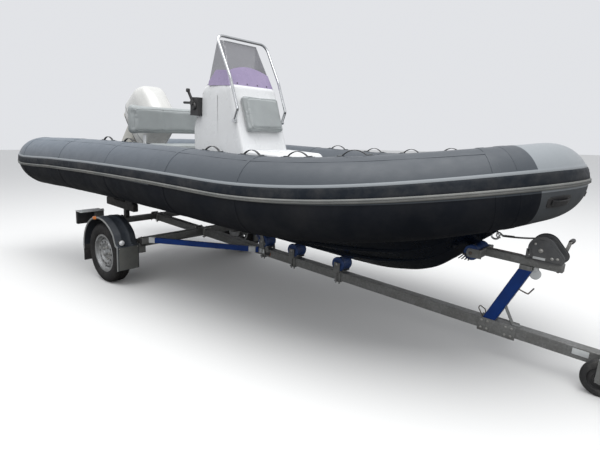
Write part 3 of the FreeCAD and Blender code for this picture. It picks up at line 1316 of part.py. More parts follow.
def coupling():
    """Ball coupling head on the front of the middle beam."""
    sleeve = box("head_sleeve", ("spine_fore - 90", "spine_fore"), ("-head_half", "head_half"),
                 ("head_bottom", "head_top - 8"))
    beam_space = box("head_sleeve_space", ("spine_fore - 200", "spine_fore"),
                     ("-spine_width / 2", "spine_width / 2"), (SPINE_BOTTOM, "spine_top"))
    body = plate("head_form", "XZ", (
        ("spine_fore", "head_bottom"), ("spine_fore + head_length - 12", "head_bottom"),
        ("spine_fore + head_length", "head_bottom + 20"),
        ("spine_fore + head_length - 30", "head_top - 12"),
        ("spine_fore + head_length - 90", "head_top"), ("spine_fore", "head_top - 8"),
    ), "-head_half", "head_half")
    socket_x = "spine_fore + head_length - ball_back"
    well = rod("head_well", "z", ("head_bottom - 10", "head_bottom + 28"), (socket_x, "0"),
               "ball_radius")
    ball = doc.addObject("Part::Sphere", "head_socket")
    bind(ball, "Radius", "ball_radius")
    bind(ball, "Placement.Base.x", socket_x)
    bind(ball, "Placement.Base.z", "head_bottom + 28")
    lever = box("head_lever", ("spine_fore + 20", "spine_fore + head_length - 80"), ("-14", "14"),
                ("head_top + 18", "head_top + 30"))
    lug = box("head_lug", ("spine_fore + head_length - 120", "spine_fore + head_length - 90"),
              ("-10", "10"), ("head_top - 10", "head_top + 18"))
    hollow_sleeve = cut("head_sleeve_open", sleeve, beam_space)
    solid = cut("head_socketed", body, well, ball)
    sub_part("coupling_head", hollow_sleeve, solid, lug, lever)


def jockey():
    """Jockey wheel: clamp and outer tube, sliding leg with its fork, wheel."""
    side_y = "-jockey_y"
    centre = ("jockey_x", side_y)
    outer = rod("jockey_outer_rod", "z", ("jockey_outer_bottom", "jockey_outer_top"), centre,
                "jockey_outer")
    bore = rod("jockey_outer_bore", "z", ("jockey_outer_bottom - 1", "jockey_outer_top - 12"),
               centre, "jockey_outer - jockey_outer_wall")
    tube = cut("jockey_outer_tube", outer, bore)
    plate_face = "-spine_width / 2"
    side_plate = box("jockey_side_plate", ("jockey_x - 50", "jockey_x + 50"),
                     (f"{plate_face} - bracket_plate", plate_face),
                     (SPINE_BOTTOM, "jockey_outer_bottom + jockey_clamp_height"))
    block = box("jockey_block", ("jockey_x - 34", "jockey_x + 34"),
                (f"{side_y} - jockey_outer - 10", f"{plate_face} - bracket_plate"),
                ("jockey_outer_bottom + 8", "jockey_outer_bottom + jockey_clamp_height"))
    hole = rod("jockey_block_hole", "z", ("jockey_outer_bottom", "jockey_outer_top"), centre,
               "jockey_outer")
    clamp = cut("jockey_clamp_block", block, hole)
    post = rod("jockey_crank_post", "z", ("jockey_outer_top", "jockey_outer_top + 26"), centre, "10")
    arm = box("jockey_crank_arm", ("jockey_x - 12", "jockey_x + jockey_crank"),
              (f"{side_y} - 10", f"{side_y} + 10"),
              ("jockey_outer_top + 26", "jockey_outer_top + 34"))
    grip = rod("jockey_crank_grip", "z", ("jockey_outer_top + 34", "jockey_outer_top + 110"),
               ("jockey_x + jockey_crank - 12", side_y), "12")
    sub_part("jockey_tube", side_plate, clamp, tube, post, arm, grip)
    crown_z = "jockey_outer_bottom - 14"
    inner = rod("jockey_inner_rod", "z", (crown_z, "jockey_inner_top"), centre,
                "jockey_outer - jockey_outer_wall - bearing_gap")
    outside = "jockey_width / 2 + jockey_fork_gap + jockey_fork_wall"
    crown = box("jockey_crown", ("jockey_x - jockey_trail - 24", "jockey_x + 28"),
                (f"{side_y} - ({outside})", f"{side_y} + ({outside})"),
                (crown_z, f"{crown_z} + 6"))
    legs = []
    for tag, near, far in (("near", f"{side_y} + jockey_width / 2 + jockey_fork_gap",
                            f"{side_y} + {outside}"),
                           ("far", f"{side_y} - ({outside})",
                            f"{side_y} - jockey_width / 2 - jockey_fork_gap")):
        legs.append(box("jockey_fork_" + tag, ("jockey_x - jockey_trail - 24",
                                              "jockey_x - jockey_trail + 24"),
                        (near, far), ("jockey_z - 20", crown_z)))
    pin = rod("jockey_axle_pin", "y", (f"{side_y} - ({outside})", f"{side_y} + ({outside})"),
              ("jockey_x - jockey_trail", "jockey_z"), "jockey_pin")
    sub_part("jockey_leg", inner, crown, *legs, pin)
    roll = turned("jockey_tyre", (
        ("-jockey_width / 2", "jockey_pin + bearing_gap"), ("-jockey_width / 2", "jockey_radius - 14"),
        ("-jockey_width / 2 + 12", "jockey_radius"), ("jockey_width / 2 - 12", "jockey_radius"),
        ("jockey_width / 2", "jockey_radius - 14"), ("jockey_width / 2", "jockey_pin + bearing_gap"),
    ), ("jockey_x - jockey_trail", side_y, "jockey_z"))
    sub_part("jockey_wheel", roll)


def nose_down():
    """Angle that brings the jockey wheel down to the ground the road wheels stand on."""
    ahead = s.jockey_x - s.jockey_trail
    above = s.jockey_z - s.tyre_radius
    return degrees(atan2(above, ahead)
                   + asin((s.tyre_radius - s.jockey_radius) / hypot(ahead, above)))


def ends(shapes):
    """Least and greatest x of shapes, from their faceted points."""
    values = [point.x for shape in shapes for point in shape.tessellate(1.0)[0]]
    return min(values), max(values)


def stand():
    """Set every sub-part nose down, with the middle of the whole over the origin."""
    turn = Rotation(Vector(0, 1, 0), nose_down())
    wheel_centre = Vector(0, 0, s.tyre_radius)
    level = Placement(wheel_centre - turn.multVec(wheel_centre), turn)
    for whole, attitude in SUB_PARTS:
        whole.Placement = level.multiply(attitude)
    doc.recompute()
    low, high = ends([whole.Shape for whole, _ in SUB_PARTS
                      if whole.Label in ("tube_starboard", "coupling_head")])
    shift = Placement(Vector(-(low + high) / 2, 0, 0), Rotation())
    for whole, attitude in SUB_PARTS:
        whole.Placement = shift.multiply(level).multiply(attitude)
    doc.recompute()
    return shift.multiply(level)


skins = tubes()
hull_body = hull(skins)
deck_and_transom(skins, hull_body)
console()
screen()
hoop_rail()
helm()
throttle()
bench()
grab_loops(skins)
bow_eye(hull_body)
outboard()
frame()
axle()
wheel()
fender()
lamps()
braces()
keel_supports()
bunks(hull_body)
winch_post()
coupling()
jockey()
doc.recompute()
STANCE = stand()

for thing in doc.Objects:
    if {"Invalid", "Error"} & set(thing.State):
        raise RuntimeError(f"{thing.Label} did not build: {thing.State}")
os.makedirs("parts", exist_ok=True)
for whole, _ in SUB_PARTS:
    shape = whole.Shape
    if shape.isNull() or not shape.isValid() or not shape.Solids:
        raise RuntimeError(f"{whole.Label} has no sound shape")
    shape.exportStep(f"parts/{whole.Label}.step")
print(len(SUB_PARTS), "sub-parts; nose down", round(nose_down(), 4), "stance", STANCE)
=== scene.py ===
# %% [markdown]
# Inflatable boat on its road trailer
#
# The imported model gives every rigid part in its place. This script dresses it: smooth
# fabric for the tubes, a faired hull, padded seats, tyres with a tread, and the small
# hardware that makes a trailer look used. Each step says what the real thing is first.

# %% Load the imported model
import json
from math import atan2, cos, degrees, pi, radians, sin, tau

import bmesh
import bpy
import numpy as np
from mathutils import Matrix, Vector
from mathutils.bvhtree import BVHTree


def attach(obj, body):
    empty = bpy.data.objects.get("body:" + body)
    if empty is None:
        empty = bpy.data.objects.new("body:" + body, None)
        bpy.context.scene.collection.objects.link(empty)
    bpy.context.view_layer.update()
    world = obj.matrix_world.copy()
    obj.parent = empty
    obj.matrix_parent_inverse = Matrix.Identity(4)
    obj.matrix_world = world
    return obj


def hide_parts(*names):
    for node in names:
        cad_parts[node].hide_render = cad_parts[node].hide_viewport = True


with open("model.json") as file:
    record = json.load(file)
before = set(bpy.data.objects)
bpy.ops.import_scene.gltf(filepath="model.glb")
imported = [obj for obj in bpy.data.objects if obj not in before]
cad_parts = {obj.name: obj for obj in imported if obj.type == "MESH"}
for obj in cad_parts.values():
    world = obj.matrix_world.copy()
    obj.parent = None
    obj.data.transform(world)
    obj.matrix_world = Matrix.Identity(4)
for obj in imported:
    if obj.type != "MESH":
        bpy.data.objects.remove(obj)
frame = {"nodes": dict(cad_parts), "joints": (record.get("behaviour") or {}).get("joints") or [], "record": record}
NODES = frame["nodes"]
JOINTS = {joint["name"]: joint for joint in frame["joints"]}
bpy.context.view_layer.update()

# %% [markdown]
# The trailer stands nose down on its jockey wheel, but it was drawn level. The jockey
# leg slides straight down in that level drawing, so its axis gives the tilt, and the
# road wheel's centre gives the place. From here on most shapes are written level, in
# millimetres, with x forward from the road axle, y to port and z up from the ground.

# %% From the level drawing to where the trailer stands
UP = -np.array(JOINTS["jockey_leg_slide"]["axis"], float)
AHEAD = np.array([UP[2], 0.0, -UP[0]])
PORT = np.array([0.0, 1.0, 0.0])
WHEEL_RADIUS = 287.0
HALF_TRACK = 852.0
HUB = np.array(JOINTS["wheel_left_spin"]["pos_m"], float) * [1, 0, 1]
GROUND = HUB - UP * WHEEL_RADIUS / 1000
LEVEL = np.stack([AHEAD, PORT, UP])


def parked(points):
    """Level drawing in millimetres to metres where the trailer stands."""
    return np.asarray(points, float) / 1000 @ LEVEL + GROUND


def unit(vectors):
    """Vectors divided by their length."""
    vectors = np.asarray(vectors, float)
    return vectors / np.linalg.norm(vectors, axis=-1, keepdims=True)


print("nose down by", round(degrees(atan2(UP[0], UP[2])), 2), "degrees")

# %% [markdown]
# A camera first, because it decides which details can be seen. The boat is looked at
# from ahead of its starboard side, from 1.36 m above the ground.

# %% Camera
CAMERA_PLACE = (2.936, -2.904, 1.358)
CAMERA_TURN = radians(40.695)
CAMERA_DIP = radians(10.476)
CAMERA_ROLL = radians(0.466)
CAMERA_LENS = 27.331

camera_data = bpy.data.cameras.new("camera")
camera_data.sensor_width = 36.0
camera_data.lens = CAMERA_LENS
camera_data.clip_end = 200.0
camera = bpy.data.objects.new("camera", camera_data)
bpy.context.scene.collection.objects.link(camera)
camera.matrix_world = (
    Matrix.Translation(CAMERA_PLACE)
    @ Matrix.Rotation(CAMERA_TURN, 4, "Z")
    @ Matrix.Rotation(pi / 2 - CAMERA_DIP, 4, "X")
    @ Matrix.Rotation(CAMERA_ROLL, 4, "Z")
)
bpy.context.scene.camera = camera

# %% [markdown]
# Shapes are worked out as whole arrays of points. A grid is a function of two
# parameters, and these helpers turn grids into closed meshes: a bar carried along a
# path, a profile turned about an axle, and a block with rounded edges.

# %% Shapes from arrays
def grid(points, around=False, along=False, caps=False):
    """Points of shape (rows, columns, 3) as vertices and quads.

    around joins the last column to the first, along the last row to the first, and
    caps closes the first and last row with a fan to their middle."""
    points = np.asarray(points, float)
    rows, columns = points.shape[:2]
    index = np.arange(rows * columns).reshape(rows, columns)
    if around:
        index = np.concatenate([index, index[:, :1]], axis=1)
    if along:
        index = np.concatenate([index, index[:1]], axis=0)
    a, b, c, d = index[:-1, :-1], index[:-1, 1:], index[1:, 1:], index[1:, :-1]
    faces = np.stack([a, b, c, d], axis=-1).reshape(-1, 4).tolist()
    vertices = points.reshape(-1, 3)
    if caps:
        middles = points[[0, -1]].mean(axis=1)
        first, last = len(vertices), len(vertices) + 1
        vertices = np.concatenate([vertices, middles])
        foot, head = index[0], index[-1]
        faces += np.stack([np.full(len(foot) - 1, first), foot[1:], foot[:-1]], 1).tolist()
        faces += np.stack([np.full(len(head) - 1, last), head[:-1], head[1:]], 1).tolist()
    return vertices, faces


def gather(patches):
    """Several (vertices, faces) patches as one."""
    vertices, faces, start = [], [], 0
    for points, quads in patches:
        vertices.append(points)
        faces += [[corner + start for corner in quad] for quad in quads]
        start += len(points)
    return np.concatenate(vertices), faces


def moved(patch, matrix=None, offset=(0, 0, 0)):
    """A patch turned by a 3x3 matrix whose rows are its new axes, then shifted."""
    points, faces = patch
    if matrix is not None:
        points = points @ np.asarray(matrix, float)
    return points + np.asarray(offset, float), faces


def flipped(patch):
    """The same patch on the other side of the middle plane, facing outwards again."""
    points, faces = patch
    return points * [1, -1, 1], [quad[::-1] for quad in faces]


def both_sides(patches):
    """Patches and their mirror images."""
    return list(patches) + [flipped(patch) for patch in patches]


def bar(path, radius, sides=16, reference=(0, 0, 1), closed=False):
    """Round bar: at each point of a path, a circle across the path's direction."""
    path = np.asarray(path, float)
    if closed:
        way = np.roll(path, -1, axis=0) - np.roll(path, 1, axis=0)
    else:
        way = np.gradient(path, axis=0)
    way = unit(way)
    side = unit(np.cross(np.broadcast_to(reference, way.shape), way))
    top = np.cross(way, side)
    turn = np.linspace(0, tau, sides, endpoint=False)[None, :, None]
    radius = np.broadcast_to(np.asarray(radius, float), len(path))[:, None, None]
    points = path[:, None] + radius * (side[:, None] * np.cos(turn) + top[:, None] * np.sin(turn))
    return grid(points, around=True, along=closed, caps=not closed)


def strap(path, width, wall, across):
    """Flat strap: an oblong section carried along a path, its width along across."""
    path = np.asarray(path, float)
    way = unit(np.gradient(path, axis=0))
    across = unit(np.broadcast_to(across, way.shape))
    over = unit(np.cross(way, across))
    corner = np.array([[-1, -0.4], [-0.94, -1], [0.94, -1], [1, -0.4],
                       [1, 0.4], [0.94, 1], [-0.94, 1], [-1, 0.4]]) / 2
    points = (path[:, None] + across[:, None] * (corner[:, 0, None] * width)
              + over[:, None] * (corner[:, 1, None] * wall))
    return grid(points[:, ::-1], around=True, caps=True)


def turned(profile, centre, axis, sides=48):
    """A profile of (distance along, radius) turned about an axis through a centre."""
    profile = np.asarray(profile, float)
    axis = unit(axis)
    aside = unit(np.cross(axis, (0.31, 0.17, 0.93)))
    third = np.cross(axis, aside)
    turn = np.linspace(0, tau, sides, endpoint=False)[None, :, None]
    spokes = aside * np.cos(turn) + third * np.sin(turn)
    points = np.asarray(centre) + axis * profile[:, :1, None] + spokes * profile[:, 1:, None]
    return grid(points, around=True, caps=True)


def rounded(size, radius, centre=(0, 0, 0), steps=3):
    """Block with rounded edges: the eighths of a ball pushed out to its corners."""
    half = np.asarray(size, float) / 2
    radius = min(radius, half.min())
    bend = np.linspace(0, pi / 2, steps + 1)
    lon = np.concatenate([bend + k * pi / 2 for k in range(4)])
    lon_sign = np.repeat([[1, 1], [-1, 1], [-1, -1], [1, -1]], steps + 1, axis=0)
    lat = np.concatenate([bend - pi / 2, bend])
    lat_sign = np.repeat([-1, 1], steps + 1)
    ball = np.stack([np.cos(lat)[:, None] * np.cos(lon), np.cos(lat)[:, None] * np.sin(lon),
                     np.broadcast_to(np.sin(lat)[:, None], (len(lat), len(lon)))], axis=-1)
    sign = np.stack([np.broadcast_to(lon_sign[:, 0], ball.shape[:2]),
                     np.broadcast_to(lon_sign[:, 1], ball.shape[:2]),
                     np.broadcast_to(lat_sign[:, None], ball.shape[:2])], axis=-1)
    return grid(sign * (half - radius) + ball * radius + np.asarray(centre), around=True, caps=True)


def box(low, high, radius=3.0):
    """Rounded block between two corners."""
    low, high = np.asarray(low, float), np.asarray(high, float)
    return rounded(high - low, radius, (low + high) / 2)


def bolt(place, axis, size=8.0, height=None):
    """Hexagon head with a chamfer, on a thin washer."""
    height = height or 0.65 * size
    washer = turned(((0, size * 1.15), (size * 0.16, size * 1.15), (size * 0.16, size * 0.5)),
                    place, axis, 20)
    head = turned(((size * 0.1, size * 0.98), (height * 0.85, size * 0.98), (height, size * 0.8)),
                  place, axis, 6)
    return [washer, head]


def bolts(places, axis, size=8.0):
    """The same bolt at several places."""
    return [patch for place in places for patch in bolt(place, axis, size)]


# %% [markdown]
# Every finished piece becomes one object at the origin, with its place in its mesh, and
# rides on the body that carries it. Edges sharper than an angle stay crisp.

# %% From arrays to pieces
PIECES = {}
FINISHES = {}


def placed(name, data):
    """New object that holds some data, in the scene."""
    made = bpy.data.objects.new(name, data)
    bpy.context.scene.collection.objects.link(made)
    return made


def read(items, name, width=1, kind=float):
    """One property of all items of a mesh, width values for each, as a flat array."""
    values = np.zeros(len(items) * width, kind)
    items.foreach_get(name, values)
    return values


def piece(name, patches, finish, body="boat_and_trailer", replaces=(), level=True,
          crease=35.0, slot=None, mend=False):
    """Makes one object of patches given in the level drawing, or else in metres.

    Its material slot has the name of its finish; the slot argument is not used."""
    vertices, faces = gather(patches)
    mesh = bpy.data.meshes.new(name)
    mesh.from_pydata((parked(vertices) if level else vertices).tolist(), [], faces)
    mesh.validate()
    if mend:
        work = bmesh.new()
        work.from_mesh(mesh)
        bmesh.ops.remove_doubles(work, verts=work.verts, dist=2e-6)
        bmesh.ops.recalc_face_normals(work, faces=work.faces)
        work.to_mesh(mesh)
        work.free()
    mesh.polygons.foreach_set("use_smooth", np.ones(len(mesh.polygons), bool))
    mesh.set_sharp_from_angle(angle=radians(crease))
    mesh.materials.append(FINISHES[finish])
    made = placed(name, mesh)
    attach(made, body)
    if replaces:
        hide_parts(*([replaces] if isinstance(replaces, str) else replaces))
    PIECES[name] = made
    return made


# %% [markdown]
# Finishes. A helper wires the nodes that nearly all of them share: colour that drifts
# between two shades, roughness that drifts with it, and a fine bump. Coordinates are the
# object's own, so a pattern keeps its real size on every piece.

# %% Finishes
class Finish:
    """A material in the making, with short names for the nodes that it needs."""

    def __init__(self, name):
        """Starts from the plain shader, and keeps the material by its name."""
        self.material = bpy.data.materials.new(name)
        FINISHES[name] = self.material
        self.material.use_nodes = True
        self.nodes = self.material.node_tree.nodes
        self.links = self.material.node_tree.links
        self.shader = self.nodes["Principled BSDF"]
        self.place = self.add("ShaderNodeTexCoord").outputs["Object"]

    def add(self, kind, settings=None, **inputs):
        """A node with plain settings and with input values or links."""
        node = self.nodes.new(kind)
        for key, value in (settings or {}).items():
            setattr(node, key, value)
        for key, value in inputs.items():
            self.put(node, key.replace("_", " "), value)
        return node

    def put(self, node, key, value):
        """Sets or links one input of a node."""
        socket = node.inputs[int(key)] if key.isdigit() else node.inputs[key]
        if isinstance(value, bpy.types.NodeSocket):
            self.links.new(value, socket)
        else:
            socket.default_value = value

    def set(self, **inputs):
        """Sets or links the shader's inputs."""
        for key, value in inputs.items():
            self.put(self.shader, key.replace("_", " "), value)

    def noise(self, scale, detail=3.0, rough=0.55, place=None):
        """Soft random pattern, scale in ripples per metre."""
        node = self.add("ShaderNodeTexNoise", Vector=place or self.place, Scale=scale,
                        Detail=detail, Roughness=rough)
        return node.outputs["Fac"]

    def between(self, value, low, high, start=0.3, stop=0.7):
        """Value carried from start..stop to low..high."""
        node = self.add("ShaderNodeMapRange", Value=value)
        for key, number in (("From Min", start), ("From Max", stop), ("To Min", low), ("To Max", high)):
            node.inputs[key].default_value = number
        return node.outputs["Result"]

    def mix(self, share, first, second, blend="MIX"):
        """Colour between two colours."""
        node = self.add("ShaderNodeMix", {"data_type": "RGBA", "blend_type": blend})
        self.put(node, "0", share)
        for socket, value in ((node.inputs[6], first), (node.inputs[7], second)):
            if isinstance(value, bpy.types.NodeSocket):
                self.links.new(value, socket)
            else:
                socket.default_value = (*value, 1.0) if len(value) == 3 else value
        return node.outputs[2]

    def math(self, kind, *values):
        """One sum on numbers or links."""
        node = self.add("ShaderNodeMath", {"operation": kind})
        for k, value in enumerate(values):
            self.put(node, str(k), value)
        return node.outputs[0]

    def bump(self, height, distance, strength=1.0, base=None):
        """Normal of a bumpy surface, height in metres times distance."""
        node = self.add("ShaderNodeBump", Height=height, Strength=strength, Distance=distance)
        if base is not None:
            self.links.new(base, node.inputs["Normal"])
        return node.outputs["Normal"]


def coloured(name, colour, second=None, drift=5.0, rough=(0.4, 0.55), metal=0.0,
             grain=0.0, grain_scale=900.0, dust=0.0, dust_colour=(0.30, 0.28, 0.25), **sockets):
    """Finish whose colour drifts between two shades, with a fine grain and some dust.

    Colour = mix(first, second, noise); dust lies where a slower noise is high."""
    f = Finish(name)
    second = second or tuple(0.8 * c for c in colour)
    tone = f.mix(f.between(f.noise(drift), 0, 1), colour, second)
    rougher = f.between(f.noise(drift * 3.1), *rough)
    if dust:
        patch = f.between(f.noise(drift * 0.7, 6.0, 0.7), 0, dust, 0.42, 0.78)
        tone = f.mix(patch, tone, dust_colour)
        rougher = f.math("ADD", rougher, f.math("MULTIPLY", patch, 0.3))
    f.set(Base_Color=tone, Roughness=rougher, Metallic=metal)
    if grain:
        f.set(Normal=f.bump(f.noise(grain_scale, 2.0), grain))
    for key, value in sockets.items():
        f.put(f.shader, key.replace("_", " "), value)


def galvanised(name, colour=(0.235, 0.238, 0.232), rough=(0.42, 0.62)):
    """Hot-dip zinc: crystal patches of slightly different greys, dull and mottled."""
    f = Finish(name)
    crystal = f.add("ShaderNodeTexVoronoi", Vector=f.place, Scale=85.0)
    patch = f.between(crystal.outputs["Color"], 0, 1, 0.1, 0.9)
    tone = f.mix(patch, colour, tuple(0.74 * c for c in colour))
    cloud = f.between(f.noise(9.0, 5.0), 0, 0.55, 0.45, 0.75)
    tone = f.mix(cloud, tone, (0.13, 0.126, 0.115))
    f.set(Base_Color=tone, Metallic=0.35, Roughness=f.between(crystal.outputs["Distance"], *rough, 0, 1),
          Normal=f.bump(f.noise(130.0, 3.0), 0.0006))


def woven(name, colour, pitch, depth, rough=(0.6, 0.8), second=None, sheen=0.2):
    """Coarse cloth: threads over and under, as two crossed waves."""
    f = Finish(name)
    waves = [f.add("ShaderNodeTexWave", {"bands_direction": axis}, Vector=f.place,
                   Scale=1 / (pitch * 20), Distortion=0.6, Detail=1.0).outputs["Fac"]
             for axis in ("X", "Y", "Z")]
    weave = f.math("MAXIMUM", f.math("MULTIPLY", waves[0], waves[2]),
                   f.math("MULTIPLY", waves[1], waves[2]))
    tone = f.mix(weave, tuple(0.7 * c for c in colour), colour)
    tone = f.mix(f.between(f.noise(14.0), 0, 0.5), tone, second or tuple(0.75 * c for c in colour))
    f.set(Base_Color=tone, Roughness=f.between(f.noise(60.0), *rough), Normal=f.bump(weave, depth))
    f.put(f.shader, "Sheen Weight", sheen)


TUBE_GREY = (0.070, 0.085, 0.103)
NOSE_GREY = (0.23, 0.25, 0.265)
# Near-black painted shade for the undersides of the tube.
UNDER_SHADE = (0.005, 0.007, 0.011)


def tube_cloth(name, colour, bow_shade=1.0):
    """Coated boat cloth: satin, faintly woven, water-marked on top, painted shade below.

    By the surface's own direction: up is paler in patches of dried salt, down is painted
    nearly black as shade, softening just under the rub rail. Painted sky sheen runs along it:
    towards the bow the colour is multiplied by the bow factor given, towards the stern top faces are paler."""
    f = Finish(name)
    facing = f.add("ShaderNodeSeparateXYZ", Vector=f.add("ShaderNodeNewGeometry").outputs["Normal"])
    below = f.between(facing.outputs["Z"], 1, 0, -0.34, -0.05)
    above = f.between(facing.outputs["Z"], 0, 1, 0.15, 0.95)
    tone = f.mix(f.between(f.noise(2.4, 4.0), 0, 1), colour, tuple(0.86 * c for c in colour))
    salt = f.math("MULTIPLY", above, f.between(f.noise(7.0, 7.0, 0.68), 0, 0.34, 0.45, 0.72))
    tone = f.mix(salt, tone, tuple(1.75 * c for c in colour))
    # Painted sky sheen along the tube: the colour darkens towards the bow, and top faces pale towards the stern.
    along = f.add("ShaderNodeSeparateXYZ", Vector=f.place).outputs["X"]
    tone = f.mix(f.between(along, 0, 1, -2.6, 1.0), tone, tuple(bow_shade * c for c in colour))
    stern_sheen = f.math("MULTIPLY", above, f.between(along, 0.9, 0, -2.6, 0.4))
    tone = f.mix(stern_sheen, tone, tuple(1.9 * c for c in colour))
    # Downward faces take the near-black painted shade.
    tone = f.mix(below, tone, UNDER_SHADE)
    cloth = f.noise(1500.0, 2.0)
    soft = f.bump(f.noise(5.0, 2.0), 0.004, 0.6)
    f.set(Base_Color=tone, Roughness=f.between(f.noise(11.0, 4.0), 0.44, 0.60),
          Normal=f.bump(cloth, 0.00025, 0.7, soft))
    f.put(f.shader, "Sheen Weight", 0.12)
    f.put(f.shader, "Sheen Roughness", 0.45)


def vinyl(name, colour, second=None):
    """Marine upholstery: fine leather grain with a soft shine, rubbed paler here and there."""
    f = Finish(name)
    cells = f.add("ShaderNodeTexVoronoi", {"feature": "SMOOTH_F1"}, Vector=f.place, Scale=520.0,
                  Smoothness=0.6).outputs["Distance"]
    tone = f.mix(f.between(f.noise(6.0, 5.0), 0, 1), colour, second or tuple(0.82 * c for c in colour))
    tone = f.mix(f.between(cells, 0.0, 0.16, 0.05, 0.5), tone, tuple(0.5 * c for c in colour))
    creases = f.bump(f.noise(38.0, 4.0), 0.0012, 0.5)
    f.set(Base_Color=tone, Roughness=f.between(f.noise(22.0), 0.42, 0.56),
          Normal=f.bump(cells, 0.0005, 0.6, creases))


def tinted(name, colour=(0.22, 0.22, 0.24), alpha=0.62):
    """Smoked acrylic: a dark see-through sheet with a clear shine."""
    f = Finish(name)
    haze = f.between(f.noise(4.0, 5.0), 0.03, 0.12, 0.35, 0.75)
    f.set(Base_Color=f.mix(f.between(f.noise(3.0), 0, 1), colour, tuple(0.85 * c for c in colour)),
          Roughness=haze)
    f.put(f.shader, "Alpha", alpha)
    f.put(f.shader, "Coat Weight", 0.4)


# Towards the bow the side tubes fall to 0.6 of their colour: the dim end of the painted sky sheen.
tube_cloth("tube_grey", TUBE_GREY, 0.6)
tube_cloth("nose_grey", NOSE_GREY)
coloured("rail_beige", (0.165, 0.17, 0.165), (0.13, 0.135, 0.13), 9.0, (0.5, 0.65), grain=0.0004,
         grain_scale=500.0, dust=0.4)
coloured("strake_black", (0.006, 0.009, 0.014), (0.010, 0.014, 0.020), 9.0, (0.42, 0.6), grain=0.0003,
         grain_scale=420.0, dust=0.12, Specular_IOR_Level=0.15)
# Below the rub rail the cloth is darkened as painted shade: near black on the side tubes, grey on the nose.
coloured("tube_under_shade", UNDER_SHADE, (0.009, 0.011, 0.016), 4.0, (0.5, 0.65), grain=0.00025,
         grain_scale=1500.0, dust=0.05, Specular_IOR_Level=0.16)
coloured("nose_under_shade", (0.085, 0.093, 0.100), (0.070, 0.077, 0.084), 4.0, (0.5, 0.65), grain=0.00025,
         grain_scale=1500.0, dust=0.05, Specular_IOR_Level=0.2)
coloured("hull_navy", (0.002, 0.004, 0.009), (0.003, 0.006, 0.012), 3.0, (0.22, 0.34), grain=0.0002,
         grain_scale=30.0, dust=0.03, dust_colour=(0.03, 0.03, 0.03), Specular_IOR_Level=0.14)
coloured("chine_red", (0.24, 0.045, 0.030), (0.16, 0.035, 0.028), 9.0, (0.35, 0.5))
coloured("deck_grey", (0.42, 0.43, 0.43), (0.34, 0.35, 0.35), 6.0, (0.6, 0.75), grain=0.0018,
         grain_scale=260.0, dust=0.5)
coloured("gelcoat_white", (0.74, 0.75, 0.76), (0.68, 0.69, 0.69), 2.2, (0.22, 0.34), grain=0.00015,
         grain_scale=40.0, dust=0.12, dust_colour=(0.46, 0.45, 0.42), Coat_Weight=0.25,
         Coat_Roughness=0.12)
vinyl("cushion_grey", (0.36, 0.385, 0.385))
vinyl("piping_pale", (0.55, 0.56, 0.56))
coloured("band_lilac", (0.33, 0.27, 0.42), (0.28, 0.23, 0.37), 5.0, (0.22, 0.32), grain=0.0001,
         Coat_Weight=0.3)
tinted("tinted_screen")
coloured("stainless", (0.66, 0.67, 0.68), (0.55, 0.56, 0.57), 12.0, (0.10, 0.22), 1.0, grain=0.00004,
         grain_scale=300.0)
coloured("black_plastic", (0.016, 0.016, 0.018), (0.022, 0.022, 0.024), 9.0, (0.38, 0.52), grain=0.0003,
         grain_scale=1400.0, dust=0.12)
woven("black_webbing", (0.022, 0.022, 0.024), 0.0016, 0.0006)
coloured("black_rubber", (0.018, 0.018, 0.019), (0.026, 0.026, 0.026), 14.0, (0.55, 0.75), grain=0.0005,
         grain_scale=700.0, dust=0.25)
coloured("outboard_metal", (0.30, 0.31, 0.31), (0.24, 0.25, 0.25), 11.0, (0.35, 0.5), 0.4, grain=0.0004,
         grain_scale=600.0, dust=0.3)
coloured("outboard_cream", (0.60, 0.59, 0.53), (0.54, 0.53, 0.48), 7.0, (0.28, 0.4), grain=0.0002,
         grain_scale=400.0, dust=0.3, Coat_Weight=0.3)
coloured("cowl_white", (0.62, 0.62, 0.60), (0.56, 0.56, 0.54), 4.0, (0.2, 0.3), grain=0.0001,
         grain_scale=60.0, dust=0.15, dust_colour=(0.45, 0.44, 0.40), Coat_Weight=0.4,
         Coat_Roughness=0.1)
coloured("engine_metal", (0.25, 0.25, 0.26), None, 20.0, (0.5, 0.6), 0.8, grain=0.0008,
         grain_scale=300.0)
coloured("propeller_metal", (0.50, 0.50, 0.50), (0.38, 0.38, 0.37), 30.0, (0.2, 0.38), 1.0,
         grain=0.0002, grain_scale=500.0)
galvanised("galvanised")
coloured("tyre", (0.012, 0.012, 0.013), (0.019, 0.018, 0.018), 16.0, (0.6, 0.8), grain=0.0004,
         grain_scale=1100.0, dust=0.25, dust_colour=(0.09, 0.085, 0.08), Specular_IOR_Level=0.3)
coloured("rim_silver", (0.42, 0.43, 0.44), (0.34, 0.35, 0.35), 20.0, (0.3, 0.45), 0.55, grain=0.0003,
         grain_scale=900.0, dust=0.55, dust_colour=(0.16, 0.14, 0.12))
coloured("fender_grey", (0.155, 0.160, 0.168), (0.12, 0.125, 0.13), 7.0, (0.4, 0.6), grain=0.0006,
         grain_scale=800.0, dust=0.5)
coloured("lamp_clear", (0.72, 0.73, 0.74), (0.62, 0.63, 0.64), 30.0, (0.08, 0.16), Coat_Weight=0.6)
coloured("lens_red", (0.36, 0.008, 0.010), (0.28, 0.006, 0.008), 30.0, (0.1, 0.2), Coat_Weight=0.6)
coloured("lens_amber", (0.72, 0.20, 0.015), (0.62, 0.16, 0.012), 30.0, (0.1, 0.2), Coat_Weight=0.6)
coloured("trailer_blue", (0.003, 0.040, 0.22), (0.003, 0.028, 0.15), 8.0, (0.3, 0.45), grain=0.0003,
         grain_scale=500.0, dust=0.06, dust_colour=(0.05, 0.08, 0.2), Specular_IOR_Level=0.3)
